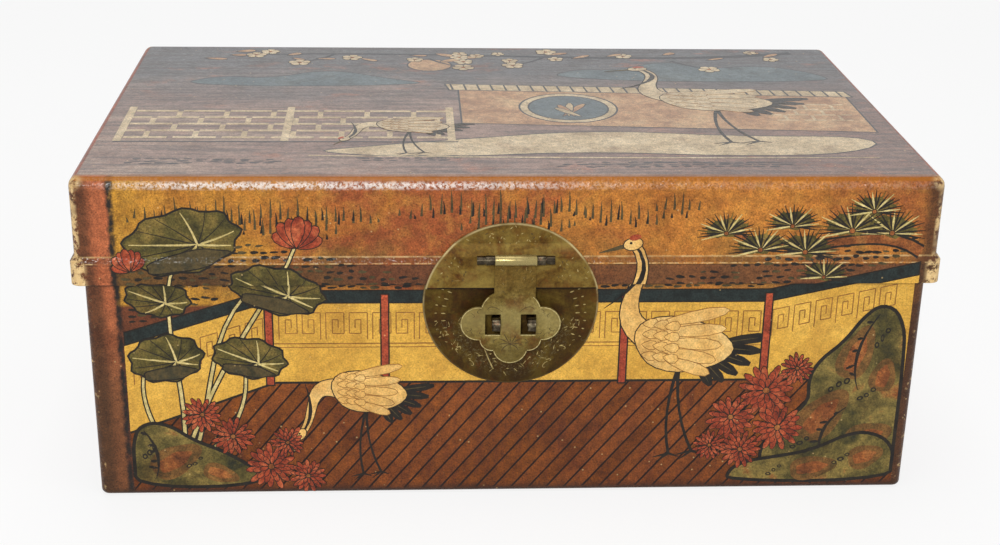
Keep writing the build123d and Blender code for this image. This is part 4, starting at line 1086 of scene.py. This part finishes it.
def end_scene(side, seed, mirror):
    """A simple end panel: bamboo over a low rock, inside a line."""
    rng = random.Random(seed)
    art = Sheet()
    border(art, 92)
    for u, height, lean in ((-34, 104, 16), (-18, 84, 34), (-46, 70, -22)):
        bamboo(art, mirror * u, 12, height, mirror * lean, rng)
    rock(art, [(mirror * u, v) for u, v in ((-74, 9), (-72, 24), (-56, 36), (-44, 30), (-30, 34), (-12, 22),
                                            (8, 16), (14, 9))], rng, 4,
         patches=((mirror * -50, 20, 8, 4, 20), (mirror * -18, 15, 7, 3, 0)),
         holes=((mirror * -36, 22, 2.6, 1.8, 10),))
    chrysanthemum(art, mirror * 22, 18, 9, rng, 5)
    chrysanthemum(art, mirror * 36, 13, 7, rng, 5)
    for u, v in ((52, 104), (62, 98), (44, 96)):
        for way, rise in ((-6, 2.5), (6, 3.0)):
            wing = [(u + way, v + rise), (u + way / 3, v - 0.5), (u, v), (u, v)]
            art.stroke([(mirror * a, b) for a, b in wing], (0.4, 1.2, 0.5), INK, 2, 6)
    grass_rows(art, rng, -84, 84, 11, 7, 5.5, SOFT_INK)
    art.lay_on_walls(side + "_end_painting", side, END_WALL_PAINT)


def back_scene():
    """A plain back panel: a plum branch and a little bamboo inside a line."""
    rng = random.Random(41)
    art = Sheet()
    border(art, 158)
    plum_branch(art, [(-152, 16), (-96, 60), (-40, 40), (20, 92)], 6.0, rng, 18, CREAM, 5.6)
    plum_branch(art, [(-112, 44), (-84, 84), (-60, 96), (-44, 122)], 3.6, rng, 11, BUFF, 5.0)
    for u, height, lean in ((118, 96, -20), (136, 74, 12)):
        bamboo(art, u, 10, height, lean, rng)
    rock(art, [(70, 9), (74, 22), (92, 30), (110, 22), (128, 30), (146, 20), (150, 9)], rng, 4,
         patches=((96, 18, 8, 4, 10), (130, 18, 7, 3, 0)), holes=((112, 16, 2.4, 1.8, 0),))
    grass_rows(art, rng, -150, 70, 11, 7, 5.5, SOFT_INK)
    art.lay_on_walls("back_painting", "back", LONG_WALL_PAINT, HINGE_PLACES)


def cut_line(name, bright, dark):
    """A line cut or rubbed in sheet brass."""
    f = Finish(name)
    level = f.noise(1.2, 3.0, 0.6)
    f.colour = f.ramp(level, (0.35, dark), (0.6, bright))
    return f.surface(f.plus(0.34, f.times(level, 0.2)), f.bump(level, 0.02, 0.5), Metallic=0.5)


RUBBED_LINE = cut_line("rubbed_brass_line", (172, 152, 96), (122, 104, 54))
# A pale line for worn brass edges that is also a painted edge highlight.
WORN_EDGE_AND_HIGHLIGHT = cut_line("worn_brass_edge_and_highlight", (198, 182, 128), (142, 124, 70))
CUT_LINE = cut_line("cut_brass_line", (84, 66, 30), (48, 34, 14))


def scroll(sheet, u, v, size, turn, finish, way, width=0.26):
    """A small engraved curl."""
    spots = [around(u, v, size * (1 - 0.27 * i), turn + way * 95 * i) for i in range(4)]
    sheet.stroke(spots, (0.7 * width, 1.2 * width, 0.6 * width), finish, 1, 9)


def worn_rims(sheet, discs, shown, inset, width, finish):
    """A pale rubbed line, also a painted edge highlight, just inside the outline that overlapping discs
    make, where shown(u, v) allows it.
    """
    for disc in discs:
        spots = [around(*disc[:2], disc[2] - inset, turn) for turn in range(0, 361, 5)]
        others = [other for other in discs if other != disc]
        free = [shown(*p) and all(hypot(p[0] - a, p[1] - b) > c - inset for a, b, c in others)
                for p in spots]
        for i in range(len(spots) - 1):
            if free[i] and free[i + 1]:
                sheet.stroke(spots[i:i + 2], width, finish, 1, 1)


def hasp_sheet():
    """The hasp's metal again with its sharp edges rounded over, in that part's place."""
    bm = bmesh.new()
    bm.from_mesh(nodes["hasp"].data)
    bmesh.ops.remove_doubles(bm, verts=bm.verts[:], dist=0.001 * MM)
    bmesh.ops.dissolve_limit(bm, angle_limit=radians(0.6), verts=bm.verts[:], edges=bm.edges[:])
    sharp = [e for e in bm.edges if len(e.link_faces) == 2 and e.calc_face_angle() > radians(38)]
    bmesh.ops.bevel(bm, geom=sharp, offset=0.16 * MM, offset_type="OFFSET", segments=2, profile=0.5,
                    affect="EDGES", material=-1, clamp_overlap=True)
    piece = piece_of("hasp_sheet", bm, nodes["hasp"].data.materials)
    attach(piece, "hasp")
    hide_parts("hasp")


def scratch(sheet, u, v, length, turn, widths, finish, steps=2):
    """A short straight scratch that starts at u, v."""
    sheet.stroke([(u, v), around(u, v, length, turn)], widths, finish, 1, steps)


def lower_engraving(rng):
    """Stamped combs, stray scratches, a long gouge and curls on the lower half of the round plate."""
    art = Sheet()
    for side in (-1, 1):
        for i in range(9):
            angle = radians(90 - side * (110 - 7.5 * i))
            for ring, long in ((26.0, 1.7), (29.4, 1.0)):
                ends = [(reach * cos(angle), 80.5 + 0.9 * reach * sin(angle))
                        for reach in (ring, ring + long)]
                art.stroke(ends, (0.3, 0.5, 0.2), RUBBED_LINE, 1, 2)
    for i in range(150):
        angle = rng.uniform(195, 345)
        u, v = around(0, PLATE_Z, rng.uniform(20, 31), angle)
        turn = angle + rng.choice((40, 90, 130)) + rng.uniform(-18, 18)
        scratch(art, u, v, rng.uniform(0.6, 2.2), turn, (0.16, 0.3, 0.1), RUBBED_LINE if i % 3 else CUT_LINE)
    art.stroke([(-10.5, 67), (-8.5, 61), (-6.5, 57)], (0.2, 0.45, 0.5), RUBBED_LINE, 2, 6)
    art.stroke([(-12, 70), (-9, 64), (-7.5, 61)], (0.2, 0.4, 0.2), CUT_LINE, 2, 6)
    for u, v, turn, way in ((-21, 66, 40, 1), (-26, 76, 80, -1), (22, 66, 140, -1), (27, 77, 100, 1),
                            (14, 58, 60, 1), (-15, 59, 120, -1), (29, 70, 20, -1), (-28, 68, 160, 1)):
        scroll(art, u, v, rng.uniform(1.8, 2.8), turn, CUT_LINE if rng.random() < 0.5 else RUBBED_LINE, way)
    art.lay_on("lower_plate_engraving", "front", "base", high=PLATE_SPLIT - 0.3,
               reach=lambda v: LOWER_PLATE_REACH, sunk=CUT_SUNK)


def upper_engraving(rng):
    """Dotted rows round the rim of the plate's upper half, clear of the rod."""
    art = Sheet()
    for row in range(6):
        for i in range(34):
            angle = radians(22 + 136 * i / 33) + rng.uniform(-0.02, 0.02)
            reach = 32.2 - 2.6 * row + 1.2 * sin(i * 0.9 + row)
            u, v = reach * cos(angle), PLATE_Z + reach * sin(angle)
            if v < 97 or (abs(u) < 18 and v < 109.5) or rng.random() < 0.35:
                continue
            turn = rng.uniform(20, 160)
            scratch(art, u, v, rng.uniform(0.5, 1.3), turn, (0.22, 0.42, 0.2),
                    RUBBED_LINE if rng.random() < 0.7 else CUT_LINE)

    def reach_at(v):
        set_back = (v - SET_BACK_FOOT) / (SET_BACK_TOP - SET_BACK_FOOT)
        return UPPER_PLATE_REACH - UPPER_PLATE_SET_BACK * min(1.0, max(0.0, set_back))

    art.lay_on("upper_plate_engraving", "front", "lid", low=PLATE_SPLIT + 1.8,
               breaks=(SET_BACK_FOOT, SET_BACK_TOP), reach=reach_at, sunk=CUT_SUNK)


def hasp_engraving(rng):
    """Scrolls, a spray and hatching in the head of the hasp, scratches up its neck, its rubbed rim, pale as
    a painted edge highlight, and painted highlights on the slots' lower edges.
    """
    art = Sheet()
    for side in (-1, 1):
        for u, v, turn, way in ((14.8, 82.4, 60, 1), (15.8, 77.2, -40, -1), (12.0, 75.6, 200, 1),
                                (12.8, 84.2, 120, -1)):
            facing = turn if side > 0 else 180 - turn
            scroll(art, HEAD_X + side * u, v, 1.7, facing, CUT_LINE, way * side, 0.2)
        bow = [(HEAD_X + side * u, v) for u, v in ((3.4, 84.4), (7.4, 88.2), (9.4, 85.4))]
        art.stroke(bow, (0.12, 0.28, 0.12), CUT_LINE, 1, 6)
        for i in range(4):
            angle = radians(90 - side * (28 + 34 * i))
            tip = (HEAD_X + 4.9 * cos(angle) * (1.1 - 0.06 * i), 70.6 + 4.9 * sin(angle))
            pull = (HEAD_X + 2.2 * cos(angle) + side * 0.9, 71.4 + 2.4 * sin(angle))
            art.stroke([(HEAD_X, 70.4), pull, tip], (0.14, 0.4, 0.14), CUT_LINE, 1, 5)
        scroll(art, HEAD_X + side * 6.4, 71.4, 1.9, 90 + side * 40, CUT_LINE, -side, 0.2)
        for i in range(5):
            ends = [(HEAD_X + side * (u + 1.9 * i), v + 0.9 * i) for u, v in ((9.4, 72.2), (9.9, 73.1))]
            art.stroke(ends, (0.2, 0.32, 0.2), CUT_LINE, 1, 1)
    art.stroke([(HEAD_X, 74.8), (HEAD_X, 66.6)], (0.12, 0.3, 0.12), CUT_LINE, 1, 3)
    for i in range(22):
        u, v = rng.uniform(-6, 8), rng.uniform(84, 104)
        scratch(art, u, v, 1.4, rng.uniform(30, 150), (0.1, 0.2, 0.1), RUBBED_LINE if i % 2 else CUT_LINE, 1)
    # Painted highlights along the lower edges of the two slots.
    for u in (-7.3, 6.8):
        art.stroke([(u - 3.0, 74.35), (u + 3.0, 74.35)], (0.3, 0.42, 0.3), WORN_EDGE_AND_HIGHLIGHT, 1, 2)
    lobes = ((-13.0, 79.3, 7.2), (12.5, 79.3, 7.2), (-3.75, 84.5, 8.4), (3.25, 84.5, 8.4),
             (-7.45, 72.6, 5.15), (6.95, 72.6, 5.15), (HEAD_X, 69.1, 7.0))

    # Where the pale rim, worn and a painted edge highlight, shows.
    def rubbed(u, v):
        return (v < 72 or abs(u) > 5) and (v < 87 or abs(u - HEAD_X) > 8.6)

    worn_rims(art, lobes, rubbed, 0.32, 0.3, WORN_EDGE_AND_HIGHLIGHT)
    art.lay_on("hasp_engraving", "front", "hasp", high=SLEEVE_FOOT,
               reach=lambda v: HASP_FACE - LID_HALF_DEPTH, sunk=CUT_SUNK)


front_scene()
top_scene()
end_scene("left", 31, 1)
end_scene("right", 32, -1)
back_scene()
brass_random = random.Random(5)
lower_engraving(brass_random)
upper_engraving(brass_random)
hasp_engraving(brass_random)
hasp_sheet()


def floor_finish():
    """A pale studio floor that stays near white, in gloss and metal too, and keeps the object's shadow."""
    f = Finish("pale_floor")
    speck = f.noise(900.0, 2.0)
    f.colour = f.mix(speck, (243, 243, 243), (247, 247, 246))
    f.surface(0.9)
    # Far from the box the floor runs into the pale surroundings without an edge.
    far = f.fade(f.radius(f.x, f.y), 700.0, 2400.0)
    strength = f.scaled(far, -0.04, 1.0)
    white = f.add("ShaderNodeEmission", {0: (255, 255, 255), 1: strength}).outputs[0]
    share = f.times(f.seen(), f.scaled(far, 0.2, 0.8))
    join = f.add("ShaderNodeMixShader", {0: share, 1: f.shader.outputs[0], 2: white}).outputs[0]
    f.tree.links.new(join, f.tree.nodes["Material Output"].inputs["Surface"])
    return f.material


def studio():
    """The floor, the soft lamps and the pale surroundings."""
    bm = bmesh.new()
    bmesh.ops.create_grid(bm, x_segments=1, y_segments=1, size=6.0)
    bmesh.ops.translate(bm, verts=bm.verts[:], vec=(0.0, 0.0, -0.1 * MM))
    floor = piece_of("studio_floor", bm, [floor_finish()])
    lamps = (
        # name, place, aimed at, width, height, watts
        ("lamp_front", (-0.32, -1.8, 0.98), (-0.02, -0.1, 0.08), 0.26, 0.22, 20.8),
        ("lamp_right", (1.7, -1.1, 1.2), (0, 0, 0.07), 1.0, 1.0, 5.0),
        ("lamp_over", (-0.1, -0.05, 1.5), (-0.02, -0.05, 0.1), 1.2, 0.6, 8.3),
        ("lamp_behind", (0.2, 1.9, 1.05), (0, 0, 0.1), 3.0, 0.9, 6.0),
    )
    for name, place, aim, width, height, watts in lamps:
        lamp = bpy.data.lights.new(name, "AREA")
        lamp.shape = "RECTANGLE"
        lamp.size = width
        lamp.size_y = height
        lamp.energy = watts
        holder = placed(name, lamp)
        holder.location = place
        holder.rotation_euler = (Vector(aim) - Vector(place)).to_track_quat("-Z", "Y").to_euler()
    world = bpy.data.worlds.new("pale_studio")
    world.use_nodes = True
    sky = Nodes(world.node_tree)
    background = world.node_tree.nodes["Background"].inputs
    sky.feed(background["Color"], (255, 255, 255))
    sky.feed(background["Strength"], sky.span(sky.seen(), 0.0, 1.0, 0.3, 0.96))
    bpy.context.scene.world = world


def camera():
    """Just above the lid's height and a little left of centre, turned right and tipped down."""
    yaw, pitch, roll = radians(-3.55), radians(22.01), radians(1.15)
    right = Vector((cos(yaw), sin(yaw), 0.0))
    level = Vector((-sin(yaw), cos(yaw), 0.0))
    ahead = level * cos(pitch) - Vector((0.0, 0.0, sin(pitch)))
    up = level * sin(pitch) + Vector((0.0, 0.0, cos(pitch)))
    across = right * cos(roll) + up * sin(roll)
    upward = up * cos(roll) - right * sin(roll)
    lens = bpy.data.cameras.new("studio_camera")
    lens.lens = 58.82
    lens.sensor_width = 36.0
    lens.clip_start = 0.02
    lens.clip_end = 30.0
    holder = placed("studio_camera", lens)
    turn = Matrix((across, upward, -ahead)).transposed()
    holder.matrix_world = Matrix.Translation(Vector((-41.5, -697.0, 340.3)) * MM) @ turn.to_4x4()
    bpy.context.scene.camera = holder


studio()
camera()
bpy.context.scene.view_settings.view_transform = "Standard"
